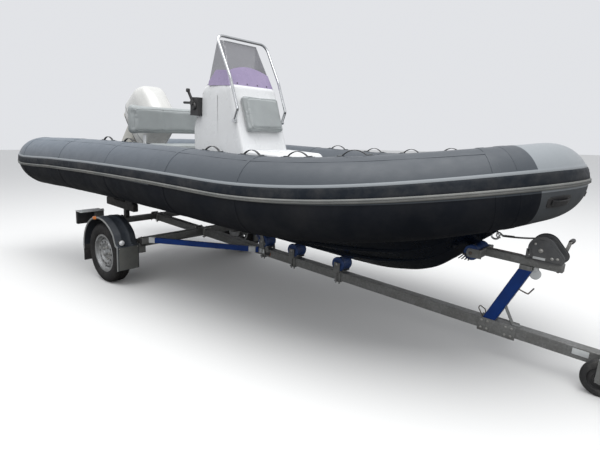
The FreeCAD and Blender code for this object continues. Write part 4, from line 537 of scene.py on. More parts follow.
coloured("roller_blue", (0.018, 0.060, 0.21), (0.012, 0.035, 0.12), 18.0, (0.45, 0.65), grain=0.0008,
         grain_scale=400.0, dust=0.2, dust_colour=(0.06, 0.07, 0.10))
coloured("winch_grey", (0.115, 0.120, 0.125), (0.085, 0.088, 0.092), 16.0, (0.4, 0.55), 0.3,
         grain=0.0004, grain_scale=600.0, dust=0.2)
coloured("black_steel", (0.025, 0.025, 0.027), (0.035, 0.035, 0.036), 14.0, (0.35, 0.5), 0.2,
         grain=0.0005, grain_scale=500.0, dust=0.3)
coloured("zinc_bolt", (0.52, 0.52, 0.50), (0.40, 0.39, 0.37), 60.0, (0.28, 0.45), 0.9)
coloured("dark_steel", (0.10, 0.10, 0.10), (0.14, 0.10, 0.075), 40.0, (0.5, 0.7), 0.6, grain=0.0006,
         grain_scale=300.0, dust=0.4)
coloured("gauge_dark", (0.008, 0.009, 0.011), None, 9.0, (0.08, 0.15), Coat_Weight=0.6)
SLOT_OF = {row["node"]: row["material_slot"] for row in frame["record"]["subparts"]}
for name, slot in SLOT_OF.items():
    NODES[name].data.materials.clear()
    NODES[name].data.materials.append(FINISHES[slot])
print("finishes:", len(FINISHES))

# %% [markdown]
# The buoyancy tube is one horseshoe of coated cloth, blown hard. Its surface is a
# function of two parameters: how far round the horseshoe, and the angle round the tube,
# with 0 pointing outboard, 90 up and 180 inboard. Everything glued to it, such as the
# rub rail, seam tapes and patches, is the same function a little further out.

# %% The line of the tube
TUBE_SPACING = 775.0
TUBE_DIAMETER = 528.0
NOSE_DIAMETER = 432.0
# Along, height of the middle, share of the full diameter.
TUBE_SIDE = np.array([
    (-2054, 1003, 0.30), (-2046, 1003, 0.40), (-2022, 1004, 0.52), (-1985, 1004.6, 0.61),
    (-1930, 1005, 0.685), (-1870, 1005, 0.775), (-1800, 1005.3, 0.86), (-1720, 1005.8, 0.935),
    (-1650, 1006, 0.978), (-1560, 1006.6, 1.0), (-1300, 1020, 1.0), (-854, 1047, 1.0),
    (-450, 1064, 1.0), (-55, 1081, 1.0), (450, 1096, 1.0), (946, 1109, 1.0), (1300, 1115, 1.0),
    (1640, 1119.7, 1.0),
])
TURN_FROM, TURN_REACH, TURN_HEIGHT = 1668.0, 1798.0, 1120.0
TURN_SHEER, TURN_LIFT = 27.0, 234.0
TURN_FULLNESS = (0.880, 0.914)


def horseshoe(count=700):
    """Middle line and radius of the tube from the starboard tip to the port tip.

    Side: straight runs between the table's rows. Turn: x = from + reach sin^a t,
    y = spacing cos^b t, height rises with the sine and its square."""
    t = np.radians(np.linspace(0, 90, 140)[1:])
    share = np.sin(t) ** TURN_FULLNESS[0]
    turn = np.stack([TURN_FROM + TURN_REACH * share,
                     -TUBE_SPACING * np.clip(np.cos(t), 0, 1) ** TURN_FULLNESS[1],
                     TURN_HEIGHT + TURN_SHEER * share + TURN_LIFT * share ** 2,
                     (TUBE_DIAMETER + (NOSE_DIAMETER - TUBE_DIAMETER) * share ** 2.5) / 2], axis=1)
    turn[-1, 1] = 0.0
    side = np.stack([TUBE_SIDE[:, 0], np.full(len(TUBE_SIDE), -TUBE_SPACING), TUBE_SIDE[:, 1],
                     TUBE_SIDE[:, 2] * TUBE_DIAMETER / 2], axis=1)
    half = np.concatenate([side, turn])
    whole = np.concatenate([half, half[-2::-1] * [1, -1, 1, 1]])
    length = np.concatenate([[0], np.cumsum(np.linalg.norm(np.diff(whole[:, :3], axis=0), axis=1))])
    even = np.linspace(0, length[-1], count)
    line = np.stack([np.interp(even, length, whole[:, k]) for k in range(4)], axis=1)
    kernel = np.hanning(13)[1:-1]
    kernel /= kernel.sum()
    inner = np.stack([np.convolve(line[:, k], kernel, "valid") for k in range(4)], axis=1)
    edge = (len(kernel) - 1) // 2
    line[edge:-edge] = inner
    return even, line


REACH, LINE = horseshoe()
TUBE_LENGTH = REACH[-1]
LINE_WAY = unit(np.gradient(LINE[:, :3], axis=0))
LINE_OUT = unit(np.cross(LINE_WAY, (0, 0, 1)))
LINE_UP = np.cross(LINE_OUT, LINE_WAY)


def on_line(table, reach):
    """Rows of a table along the horseshoe at the given distances."""
    return np.stack([np.interp(reach, REACH, table[:, k]) for k in range(table.shape[1])], axis=-1)


def skin(reach, angle, rise=0.0):
    """Points on the tube: middle + (out cos a + up sin a) (radius + rise)."""
    reach, angle = np.broadcast_arrays(np.asarray(reach, float), np.asarray(angle, float))
    line = on_line(LINE, reach)
    out, up = unit(on_line(LINE_OUT, reach)), unit(on_line(LINE_UP, reach))
    a = np.radians(angle)[..., None]
    return line[..., :3] + (out * np.cos(a) + up * np.sin(a)) * (line[..., 3] + rise)[..., None]


def reach_at(x, port=False):
    """Distance along the horseshoe where its side passes a place x."""
    half = len(LINE) // 2
    found = np.interp(x, LINE[:half, 0], REACH[:half])
    return TUBE_LENGTH - found if port else found


NOSE_REACH = float(np.interp(-0.516 * TUBE_SPACING, LINE[:350, 1], REACH[:350]))
print("tube:", round(TUBE_LENGTH), "mm round the horseshoe, nose piece from", round(NOSE_REACH))

# %% [markdown]
# The skins come first. The cloth isn't a perfect tube: it is drawn in a hair at each
# glued seam and swells between them, which is what makes an inflated thing look soft.

# %% Skins of the tube
SEAMS = np.array([reach_at(x) for x in (-1560, -640, 280, 1180, 1950)] + [NOSE_REACH])
TOW_AWAY = 205
SEAMS = np.concatenate([SEAMS, TUBE_LENGTH - SEAMS, [TUBE_LENGTH / 2 - TOW_AWAY,
                                                     TUBE_LENGTH / 2 + TOW_AWAY]])
SEAM_PINCH, SEAM_REACH = 1.6, 70.0


def swell(reach, angle):
    """How far the cloth lies off the true tube: drawn in by each seam's bell curve."""
    away = np.abs(np.asarray(reach)[..., None] - SEAMS).min(axis=-1)
    pinch = SEAM_PINCH * np.exp(-(away / SEAM_REACH) ** 2)
    slack = 0.5 * np.sin(np.asarray(reach) / 61.0 + 1.3 * np.cos(np.radians(angle)))
    return slack - pinch


RAIL_AFT, RAIL_BOW = -9.3, 3.0
RAIL_TIP, RAIL_NOSE = -2054.0, 3466.0


def rail_angle(reach):
    """Angle of the rub rail, climbing evenly from the stern to the bow."""
    share = (on_line(LINE, reach)[..., 0] - RAIL_TIP) / (RAIL_NOSE - RAIL_TIP)
    return RAIL_AFT + (RAIL_BOW - RAIL_AFT) * share


TUBE_SIDES, TUBE_STEP = 72, 14.0
TIP_DOME, DOME_BENDS = 14, np.radians((25, 50, 72, 88))


def tube_skin(start, stop, cap_start=False, cap_stop=False):
    """Patch of the whole tube between two distances along it."""
    reach = np.linspace(start, stop, int((stop - start) / TUBE_STEP) + 2)[:, None]
    angle = -np.linspace(0, 360, TUBE_SIDES, endpoint=False)[None, :]
    points = skin(reach, angle, swell(*np.broadcast_arrays(reach, angle)))
    rows = [points]
    for closed, row, way in ((cap_start, 0, -1), (cap_stop, -1, 1)):
        if closed:
            middle = points[row].mean(axis=0)
            along = LINE_WAY[row] * way
            dome = np.stack([middle + (points[row] - middle) * cos(bend) + along * TIP_DOME * sin(bend)
                             for bend in DOME_BENDS])
            rows = [dome[::-1]] + rows if way < 0 else rows + [dome]
    return grid(np.concatenate(rows), around=True, caps=True)


NOSE_SEAM = 0.62 * (TUBE_LENGTH / 2 - TOW_AWAY - NOSE_REACH)


def darken_below(made, reach, under="tube_under_shade"):
    """Painted shade: a darker second material from the rub rail round to the hull, by rows of faces.

    On the nose two more reach from its joint to the seam that shows."""
    side = -(np.arange(TUBE_SIDES) + 0.5) * 360 / TUBE_SIDES
    rows = min(len(reach), len(made.data.polygons) // TUBE_SIDES)
    reach = np.asarray(reach, float)[:rows, None]
    below = (side[None] > -158) & (side[None] < rail_angle(reach[:, 0])[:, None])
    in_nose = np.minimum(reach, TUBE_LENGTH - reach) - NOSE_REACH
    aft = (in_nose > 0) & (in_nose < NOSE_SEAM)
    share = np.zeros(len(made.data.polygons), np.int32)
    share[:rows * TUBE_SIDES] = (below + 2 * aft).ravel()
    for finish in (under, "tube_grey", "tube_under_shade"):
        made.data.materials.append(FINISHES[finish])
    made.data.polygons.foreach_set("material_index", share)


for name, start, stop, caps, tone in (
        ("tube_starboard", 0, NOSE_REACH, (True, False), "tube_grey"),
        ("tube_bow", NOSE_REACH, TUBE_LENGTH - NOSE_REACH, (False, False), "nose_grey"),
        ("tube_port", TUBE_LENGTH - NOSE_REACH, TUBE_LENGTH, (False, True), "tube_grey")):
    cloth = piece(name + "_skin", [tube_skin(start, stop, *caps)], tone, replaces=name, crease=80)
    rows = np.linspace(start, stop, int((stop - start) / TUBE_STEP) + 2)
    # Rows below the rub rail get the painted shade finish.
    darken_below(cloth, np.concatenate([np.zeros(len(DOME_BENDS) * caps[0]), rows]),
                 "nose_under_shade" if name == "tube_bow" else "tube_under_shade")
print("skins:", [len(PIECES[n].data.polygons) for n in ("tube_starboard_skin", "tube_bow_skin")])

# %% [markdown]
# Glued on bands. A band's section is a short list of places across it and how far they
# stand off the cloth. Carried along the horseshoe, it makes the pale rub rail with the
# dark strake over it. Tapes run along the tube, and round it over its seams.

# %% Rub rail, strake and seam tapes
def band(section, start, stop, step=22.0, angle=None):
    """Band of a section of (across in mm, rise in mm) along the tube."""
    reach = np.linspace(start, stop, int((stop - start) / step) + 2)
    climb = RAIL_CLIMB * (rail_angle(reach) - RAIL_AFT) / (RAIL_BOW - RAIL_AFT)
    base = rail_angle(reach) + climb if angle is None else np.full(len(reach), float(angle))
    section = np.asarray(section, float)
    radius = on_line(LINE, reach)[:, 3]
    angles = base[:, None] + np.degrees(section[None, :, 0] / radius[:, None])
    return grid(skin(reach[:, None], angles, section[None, :, 1])[:, ::-1], around=True, caps=True)


def tape(reach, width=34.0, rise=1.4):
    """Tape right round the tube over a seam."""
    across = np.array([-0.5, -0.46, 0.46, 0.5]) * width
    up = np.array([-1.5, rise, rise, -1.5])
    angle = -np.linspace(0, 360, TUBE_SIDES, endpoint=False)[None, :]
    return grid(skin(reach + across[:, None], angle, up[:, None]), around=True)


def lengthwise(angle, start, stop, width=26.0, rise=1.1):
    """Tape along the tube at one angle."""
    half = width / 2
    return band(((-half, -1.5), (-half + 1, rise), (half - 1, rise), (half, -1.5)), start, stop, 30.0,
                angle)


RAIL_SECTION = ((-7, -2), (-6.6, 7), (-4.5, 11), (-1, 12.6), (3.4, 12.8), (4.4, 8.6), (8.6, 8.6),
                (9.6, 12.8), (14, 12.6), (17.5, 11), (19.6, 7), (20, -2))
STRAKE_SECTION = ((20.4, -2), (20.8, 4.6), (25, 6.2), (35, 5.0), (46, 6.4), (57, 5.0), (66, 6.4),
                  (75, 5.4), (80.6, 4.0), (81, -2))
BEAD_SECTION = ((82, -2), (83, 2.4), (87, 3.4), (96, 3.4), (101, 2.4), (102, -2))
RAIL_CLIMB = 2.2
BAND_START = 34.0
piece("rub_rail_strip", [band(RAIL_SECTION, BAND_START, TUBE_LENGTH - BAND_START)], "rail_beige",
      replaces="rub_rail", crease=50)
piece("rub_strake_strip", [band(STRAKE_SECTION, BAND_START, TUBE_LENGTH - BAND_START)], "strake_black",
      replaces="rub_strake", crease=50)
piece("rub_bead_strip", [band(BEAD_SECTION, BAND_START + 8, TUBE_LENGTH - BAND_START - 8)], "nose_grey",
      crease=50)

# The last two seams lie under the tow handles and have no tape.
TAPED = SEAMS[:-2]
side_tapes = [tape(reach) for reach in TAPED]
taped = piece("seam_tapes", side_tapes + [lengthwise(66, 520, NOSE_REACH),
                                          lengthwise(66, TUBE_LENGTH - NOSE_REACH, TUBE_LENGTH - 520)],
              "tube_grey", crease=50)
# The side and nose seam tapes get the same painted shade below the rub rail.
darken_below(taped, np.repeat(TAPED, 3))
nose_seams = np.array([NOSE_REACH + NOSE_SEAM - 60, TUBE_LENGTH - NOSE_REACH - NOSE_SEAM + 60])
nose_tapes = piece("nose_tapes", [tape(reach, 44.0) for reach in nose_seams], "tube_grey",
                   slot="nose_grey", crease=50)
darken_below(nose_tapes, np.repeat(nose_seams, 3))
print("bands and tapes:", len(side_tapes) + 4)

# %% [markdown]
# Soft handles: a strap arches between two sewn ends on a glued patch, on the crown of
# each tube. Lifting rings lie on the same kind of patch, inboard. Valves have domed caps.

# %% Handles, rings and valves
HANDLE_PLACES = (-100, 275, 1440, 1860, 2260, 2650)
HANDLE_SPAN, HANDLE_RISE, HANDLE_WIDTH = 190.0, 30.0, 20.0
# Share of the span with the sewn ends, and the middle of each end from the handle's.
HANDLE_SEWN, HANDLE_FOOT = 1.15, 92


def patch_on_tube(reach, angle, length, width, rise=2.2, corner=0.5):
    """Rounded patch lying on the tube, length along it and width round it.

    Outline: a rounded oblong. The rise is even, and its edge dips into the cloth."""
    spin = -np.linspace(0, tau, 48, endpoint=False)
    power = 0.25 + 0.75 * corner
    shape = np.stack([np.sign(np.cos(spin)) * np.abs(np.cos(spin)) ** power,
                      np.sign(np.sin(spin)) * np.abs(np.sin(spin)) ** power], axis=1)
    rings = np.array([1.0, 0.985, 0.95, 0.8, 0.6, 0.4, 0.2])
    lift = np.array([-1.5, 0.75, 1.0, 1.0, 1.0, 1.0, 1.0]) * rise
    lift[0] = -1.5
    radius = float(on_line(LINE, reach)[3])
    along = reach + rings[:, None] * shape[None, :, 0] * length / 2
    round_it = angle + np.degrees(rings[:, None] * shape[None, :, 1] * width / 2 / radius)
    points = skin(along, round_it, np.broadcast_to(lift[:, None], along.shape))
    return grid(points, around=True, caps=True)


def handle(reach, angle=90.0):
    """Arched strap, its ends sewn flat: rise = height times sin of the share of the span."""
    share = np.linspace(0, 1, 33)
    rise = 4.5 + HANDLE_RISE * np.clip(np.sin(pi * np.clip((share - 0.16) / 0.68, 0, 1)), 0, 1) ** 0.75
    along = reach + (share - 0.5) * HANDLE_SPAN * HANDLE_SEWN
    middle = skin(along, np.full(len(share), angle), rise)
    across = skin(reach, angle + 4, 0) - skin(reach, angle - 4, 0)
    return strap(middle, HANDLE_WIDTH, 4.0, across)


def stitches(reach, angle, length=26.0, width=14.0):
    """Box of sewing where a strap ends: four sides and a diagonal, as short cords."""
    radius = float(on_line(LINE, reach)[3])
    corners = np.array([(-1, -1), (1, -1), (1, 1), (-1, 1), (-1, -1), (1, 1)]) * (length / 2, width / 2)
    rows = []
    for a, b in zip(corners[:-1], corners[1:]):
        run = a + (b - a) * np.linspace(0, 1, 5)[:, None]
        rows.append(bar(skin(reach + run[:, 0], angle + np.degrees(run[:, 1] / radius), 6.8),
                        0.9, 6, (0.3, 0.2, 1)))
    return rows


handle_reaches = [reach_at(x, port) for x in HANDLE_PLACES for port in (False, True)]
piece("handle_straps", [handle(reach) for reach in handle_reaches], "black_webbing",
      replaces="grab_loops", crease=60)
piece("handle_patches", [patch_on_tube(reach + side * HANDLE_FOOT, 90, 70, 56)
                         for reach in handle_reaches for side in (-1, 1)], "tube_grey", crease=60)
piece("handle_stitching", [cord for reach in handle_reaches for side in (-1, 1)
                           for cord in stitches(reach + side * HANDLE_FOOT, 90)], "cushion_grey")


def ring_on_patch(reach, angle, ring=26.0, wire=4.0):
    """D-ring lying on its patch under a short strap."""
    radius = float(on_line(LINE, reach)[3])
    spin = np.linspace(0, tau, 40, endpoint=False)
    x = ring * np.cos(spin)
    y = np.clip(ring * np.sin(spin), -0.35 * ring, ring)
    rise = 6.0 + 0.10 * (y + ring)
    loop = skin(reach + x, angle - np.degrees(y / radius), rise)
    outward = skin(reach, angle, 30) - skin(reach, angle, 0)
    keeper = skin(reach - 13 + 26 * np.linspace(0, 1, 9), np.full(9, angle + np.degrees(6 / radius)),
                  3.5 + 7.5 * np.sin(np.linspace(0, pi, 9)) ** 0.5)
    down = skin(reach, angle - 3, 0) - skin(reach, angle + 3, 0)
    return bar(loop, wire, 10, outward, closed=True), strap(keeper, 24.0, 2.6, down)


RING_SPOTS = [(reach_at(x, port), 152.0) for x in (-1000, 700, 2050) for port in (False, True)]
rings = [ring_on_patch(*spot) for spot in RING_SPOTS]
piece("ring_patches", [patch_on_tube(reach, angle, 104, 104, 2.4, 1.0)
                       for reach, angle in RING_SPOTS] + [keeper for _, keeper in rings],
      "black_rubber", crease=60)
piece("lifting_rings", [loop for loop, _ in rings], "stainless")


def valve(reach, angle=128.0):
    """Inflation valve: a ribbed rim with a domed cap."""
    middle = skin(reach, angle, 0)
    outward = skin(reach, angle, 10) - middle
    rim = turned(((-4, 30), (2.5, 30), (4, 28), (4, 21), (3, 20.5), (3, 18)), middle, outward, 40)
    cap = turned(((2, 19.5), (6, 19.5), (7.5, 17.5), (8, 6)), middle, outward, 12)
    return [rim, cap]


piece("valves", [part for x in (-1350, 600, 2300) for port in (False, True)
                 for part in valve(reach_at(x, port))], "black_plastic", crease=30)
TOW_SPOTS = [(TUBE_LENGTH / 2 + side * TOW_AWAY, -15.0) for side in (-1, 1)]


def tow_handle(reach, angle, span=84.0, width=30.0):
    """Low moulded handle on the nose: an arched bar over a patch."""
    share = np.linspace(0, 1, 25)
    middle = skin(reach + (share - 0.5) * span, np.full(25, angle), 4 + 15 * np.sin(pi * share) ** 0.5)
    return strap(middle, width, 9.0, skin(reach, angle + 4, 0) - skin(reach, angle - 4, 0))


piece("tow_handles", [part for spot in TOW_SPOTS for part in (patch_on_tube(*spot, 128, 66, 2.6, 0.25),
                                                              tow_handle(*spot))], "black_plastic",
      crease=50)
print("handles:", len(handle_reaches), "rings:", len(rings))

# %% [markdown]
# The hull is one moulding: a V bottom with spray rails, a hard chine and a short topside
# that meets the tube. Its sections come from a table, and every column of the table is
# carried from stern to bow by a smooth curve, so that the bottom runs fair.

# %% Hull
# Along, keel, chine out and up, topside out and up, top out and up.
HULL_SECTIONS = np.array([
    (-800, 600, 548, 806, 655, 850, 648, 910),
    (-55, 600, 550, 812, 660, 882, 652, 910),
    (946, 600, 550, 815, 664, 898, 660, 910),
    (1700, 600, 548, 826, 672, 902, 668, 910),
    (2150, 602, 542, 862, 690, 900, 698, 910),
    (2450, 611, 528, 905, 600, 975, 600, 1080),
    (2730, 654, 486, 952, 540, 1026, 540, 1120),
    (2892, 713, 425, 990, 490, 1059, 490, 1150),
    (3026, 815, 335, 1035, 420, 1094, 420, 1180),
    (3120, 915, 250, 1075, 330, 1130, 330, 1210),
    (3240, 1020, 130, 1120, 200, 1170, 200, 1240),
    (3390, 1190, 30, 1225, 60, 1240, 60, 1270),
], float)


def fair(table, places):
    """Smooth curve through each column: cubic pieces whose slopes never overshoot.

    The slope at a row is the harmonic mean of its two neighbours' slopes, or 0 where
    they differ in sign."""
    x, columns = table[:, 0], table[:, 1:]
    step = np.diff(x)[:, None]
    slope = np.diff(columns, axis=0) / step
    product = slope[:-1] * slope[1:]
    total = slope[:-1] + slope[1:]
    inner = np.where(product > 0, 2 * product / np.where(total == 0, 1, total), 0)
    tangent = np.concatenate([slope[:1], inner, slope[-1:]])
    k = np.clip(np.searchsorted(x, places, "right") - 1, 0, len(x) - 2)
    h = step[k]
    t = (places[:, None] - x[k][:, None]) / h
    return (columns[k] * (1 + 2 * t) * (1 - t) ** 2 + tangent[k] * h * t * (1 - t) ** 2
            + columns[k + 1] * t ** 2 * (3 - 2 * t) + tangent[k + 1] * h * t ** 2 * (t - 1))


HULL_PLACES = np.concatenate([np.linspace(-800, 2100, 60), np.linspace(2130, 3390, 80)])
HULL_COLUMNS = fair(HULL_SECTIONS, HULL_PLACES)
SPRAY_RAILS = (0.34, 0.66)
RAIL_OUT, CHINE_FLAT = 16.0, 26.0


def hull_half(places, columns):
    """Half sections from the keel out to the top edge.

    Bottom: straight from keel to chine with a slight hollow, broken by two spray rails
    that fade out towards the bow; then the chine's flat, the topside and the top edge."""
    keel, chine_y, chine_z, side_y, side_z, top_y, top_z = columns.T
    fade = np.clip((chine_y - 60) / 300, 0, 1)
    rails = fade * np.clip((3050 - places) / 500, 0, 1)
    rows = [(0 * keel, keel), (12 * fade, keel)]
    last = 0.0
    for share in SPRAY_RAILS:
        for at in (last + 0.55 * (share - last), share):
            rows.append((12 * fade + (chine_y - 12 * fade) * at,
                         keel + (chine_z - keel) * at - 5 * fade * np.sin(pi * at)))
        y, z = rows[-1]
        rows[-1] = (y, z - 2 * rails)
        rows.append((y + RAIL_OUT * rails + 0.5, z - 6 * rails))
        rows.append((y + (RAIL_OUT + 1) * rails + 1.0, z + 11 * rails))
        last = share + 0.03
    rows += [(12 * fade + (chine_y - 12 * fade) * 0.86, keel + (chine_z - keel) * 0.86),
             (chine_y, chine_z), (chine_y + CHINE_FLAT * fade, chine_z - 6 * fade),
             (chine_y + (CHINE_FLAT + 1.5) * fade, chine_z + 5 * fade)]
    base_y, base_z = rows[-1]
    rows += [(base_y + (side_y - base_y) * share, base_z + (side_z - base_z) * share)
             for share in (0.33, 0.66, 1.0)]
    rows.append((top_y, top_z))
    return np.stack([np.stack([y, z], axis=-1) for y, z in rows], axis=1)


def whole_sections(half, places):
    """Half sections and their mirror images as one closed ring per place."""
    port = np.concatenate([np.broadcast_to(places[:, None, None], half.shape[:2] + (1,)), half], axis=-1)
    star = (port * [1, -1, 1])[:, ::-1][:, :-1]
    return np.concatenate([star, port], axis=1)


half_sections = hull_half(HULL_PLACES, HULL_COLUMNS)
hull_ring = whole_sections(half_sections, HULL_PLACES)
piece("hull_moulding", [grid(hull_ring, around=True, caps=True)], "hull_navy", replaces="hull",
      crease=22)

CHINE_COLUMN = 2 + len(SPRAY_RAILS) * 4 + 1
chine_mask = HULL_PLACES < 3150
chine_line = np.concatenate([HULL_PLACES[:, None], half_sections[:, CHINE_COLUMN + 1]], axis=1)[chine_mask]
chine_strip = strap(chine_line + [0, 1.6, 1.5], 13.0, 2.4, (0, 0.35, 1))
piece("chine_stripe", both_sides([chine_strip]), "chine_red", slot="hull_navy")
print("hull:", len(PIECES["hull_moulding"].data.polygons), "faces")

# %% [markdown]
# Sheet and moulded parts come from the CAD in the right shape, but a real casting,
# moulding or folded plate has no knife edges. A copy of the node is merged into clean
# faces, each sharp edge gets a weight, and a Bevel modifier rounds those edges.

# %% Rounded copies of CAD nodes
def softened(node, width, steps=3, foot=None):
    """Copy of a node with edges sharper than 30 degrees rounded by a width in mm.

    foot is a level height in mm; edges that lie wholly below it stay sharp."""
    mesh = NODES[node].data.copy()
    work = bmesh.new()
    work.from_mesh(mesh)
    bmesh.ops.remove_doubles(work, verts=work.verts, dist=2e-5)
    bmesh.ops.dissolve_limit(work, angle_limit=radians(1.5), verts=work.verts, edges=work.edges)
    work.to_mesh(mesh)
    work.free()
    edges = read(mesh.edges, "vertices", 2, int)
    height = (read(mesh.vertices, "co", 3).reshape(-1, 3) - GROUND) @ UP * 1000
    loop_edge = read(mesh.loops, "edge_index", 1, int)
    sizes = read(mesh.polygons, "loop_total", 1, int)
    normals = read(mesh.polygons, "normal", 3).reshape(-1, 3)
    normals = normals[np.repeat(np.arange(len(sizes)), sizes)]
    order = np.argsort(loop_edge, kind="stable")
    count = np.bincount(loop_edge, minlength=len(mesh.edges))
    first = np.concatenate([[0], np.cumsum(count)[:-1]])
    cosine = (normals[order[first]] * normals[order[first + np.minimum(count, 2) - 1]]).sum(axis=1)
    sharp = (cosine < cos(radians(30))) & (count == 2)
    if foot is not None:
        sharp &= height[edges.reshape(-1, 2)].max(axis=1) > foot
    weight = mesh.attributes.new("bevel_weight_edge", "FLOAT", "EDGE")
    weight.data.foreach_set("value", sharp.astype(np.float32))
    mesh.polygons.foreach_set("use_smooth", np.ones(len(mesh.polygons), bool))
    mesh.set_sharp_from_angle(angle=radians(35))
    mesh.materials.clear()
    mesh.materials.append(FINISHES[SLOT_OF[node]])
    made = placed(node + "_soft", mesh)
    edge = made.modifiers.new("rounded_edges", "BEVEL")
    edge.width = width / 1000
    edge.segments = steps
    edge.limit_method = "WEIGHT"
    edge.harden_normals = True
    body = next(b for b, nodes in frame["record"]["behaviour"]["bodies"].items() if node in nodes)
    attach(made, body)
    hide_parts(node)
    PIECES[made.name] = made


# %% Seats, transom, steps and throttle box with rounded edges
DECK = 930.0
softened("front_seat", 22, steps=4, foot=DECK + 5)
softened("seat_box", 5, foot=DECK + 5)
softened("transom", 12)
softened("stern_steps", 14)
softened("throttle_box", 7)
print("softened:", [name for name in PIECES if name.endswith("_soft")])

# %% [markdown]
# Upholstery. Each pad is cut a little small, remeshed fine, and blown up by the cloth
# solver so that its faces crown and its corners stay tight. A cap keeps it within its
# place. The piping is laid on afterwards, where the cover is sewn.

# %% Blown up cushions
def blown(name, patches, cap, pressure=4.0, voxel=0.010, steps=16):
    """Padded piece: remeshed form, swollen by cloth pressure, moved at most cap mm."""
    vertices, faces = gather(patches)
    mesh = bpy.data.meshes.new(name)
    mesh.from_pydata(parked(vertices).tolist(), [], faces)
    made = placed(name, mesh)
    remesh = made.modifiers.new("even", "REMESH")
    remesh.mode = "VOXEL"
    remesh.voxel_size = voxel
    remesh.use_smooth_shade = True
    graph = bpy.context.evaluated_depsgraph_get()
    even = bpy.data.meshes.new_from_object(made.evaluated_get(graph))
    made.modifiers.clear()
    made.data = even
    start = read(even.vertices, "co", 3)
    end = start
    cloth = made.modifiers.new("cloth", "CLOTH")
    cloth.settings.use_pressure = True
    cloth.settings.uniform_pressure_force = pressure
    cloth.settings.tension_stiffness = 15
    cloth.settings.bending_stiffness = 2.0
    cloth.settings.effector_weights.gravity = 0
    cloth.point_cache.frame_end = steps
    for step in range(1, steps + 1):
        bpy.context.scene.frame_set(step)
    graph = bpy.context.evaluated_depsgraph_get()
    swollen = made.evaluated_get(graph).to_mesh()
    end = read(swollen.vertices, "co", 3)
    made.evaluated_get(graph).to_mesh_clear()
    made.modifiers.clear()
    bpy.context.scene.frame_set(1)
    shift = (end - start).reshape(-1, 3)
    far = np.linalg.norm(shift, axis=1, keepdims=True)
    shift *= np.minimum(1.0, cap / 1000 / np.maximum(far, 1e-9))
    even.vertices.foreach_set("co", (start.reshape(-1, 3) + shift).ravel())
    even.polygons.foreach_set("use_smooth", np.ones(len(even.polygons), bool))
    even.update()
    return made


def furrow(made, centre, across, depth, width):
    """Sewn channel: vertices near a plane through centre across `across` sink inward.

    Sink = depth exp(-(distance/width)^2) against the vertex normal."""
    mesh = made.data
    places = read(mesh.vertices, "co", 3).reshape(-1, 3)
    normals = read(mesh.vertex_normals, "vector", 3)
    away = (places - centre) @ across
    sink = depth * np.exp(-(away / width) ** 2)
    places -= normals.reshape(-1, 3) * sink[:, None]
    mesh.vertices.foreach_set("co", places.ravel())
    mesh.update()


def upholster(made, node):
    """Finishes a pad: material, one subdivision, its body; hides its node and keeps it among the pieces."""
    made.data.materials.clear()
    made.data.materials.append(FINISHES["cushion_grey"])
    finer = made.modifiers.new("finer", "SUBSURF")
    finer.levels = finer.render_levels = 1
    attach(made, "boat_and_trailer")
    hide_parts(node)
    PIECES[made.name] = made


def nearest(made, points, rise=0.0):
    """Points moved to the nearest places on a piece, and out along its normals."""
    tree = BVHTree.FromObject(made, bpy.context.evaluated_depsgraph_get())
    found = [tree.find_nearest(Vector(point)) for point in parked(points)]
    return np.array([list(place + normal * rise / 1000) for place, normal, _, _ in found])


def piping(name, made, outline, radius=3.2, material="cushion_grey", rise=0.6):
    """Welt along a closed outline on the surface of a pad."""
    path = nearest(made, outline, rise)
    kernel = np.ones(5) / 5
    padded = np.concatenate([path[-2:], path, path[:2]])
    path = np.stack([np.convolve(padded[:, k], kernel, "valid") for k in range(3)], axis=1)
    return piece(name, [bar(path, radius / 1000, 8, (0.31, 0.27, 0.91), closed=True)], material,
                 level=False, slot="cushion_grey")


def round_rect(width, height, corner, count=160):
    """Outline of a rounded oblong as (across, up) pairs, evenly round it."""
    turn = np.linspace(0, tau, count, endpoint=False)
    power = 2.0 / (2 + 6 * (1 - corner))
    return np.stack([np.sign(np.cos(turn)) * np.abs(np.cos(turn)) ** power * width / 2,
                     np.sign(np.sin(turn)) * np.abs(np.sin(turn)) ** power * height / 2], axis=1)


# Backrest: a long bolster, its top edge rounder than its foot.
BACK_AFT, BACK_FORE, BACK_HALF = -222.0, -92.0, 550.0
BACK_BOTTOM, BACK_TOP = 1397.0, 1695.0
back = blown("backrest", [rounded((BACK_FORE - BACK_AFT - 14, 2 * BACK_HALF - 16,
                                   BACK_TOP - BACK_BOTTOM - 16), 44,
                                  ((BACK_AFT + BACK_FORE) / 2, 0, (BACK_TOP + BACK_BOTTOM) / 2), 6)],
             11)
for y in (-184, 184):
    furrow(back, parked((0, y, 1550)), PORT, 0.0032, 0.006)
upholster(back, "seat_back")
oblong = round_rect(2 * BACK_HALF - 60, BACK_TOP - BACK_BOTTOM - 60, 0.25, 300)
for side, x in (("fore", BACK_FORE + 4), ("aft", BACK_AFT - 4)):
    piping("backrest_piping_" + side, back, np.stack([np.full(len(oblong), x), oblong[:, 0],
                                                      oblong[:, 1] + (BACK_TOP + BACK_BOTTOM) / 2], 1))

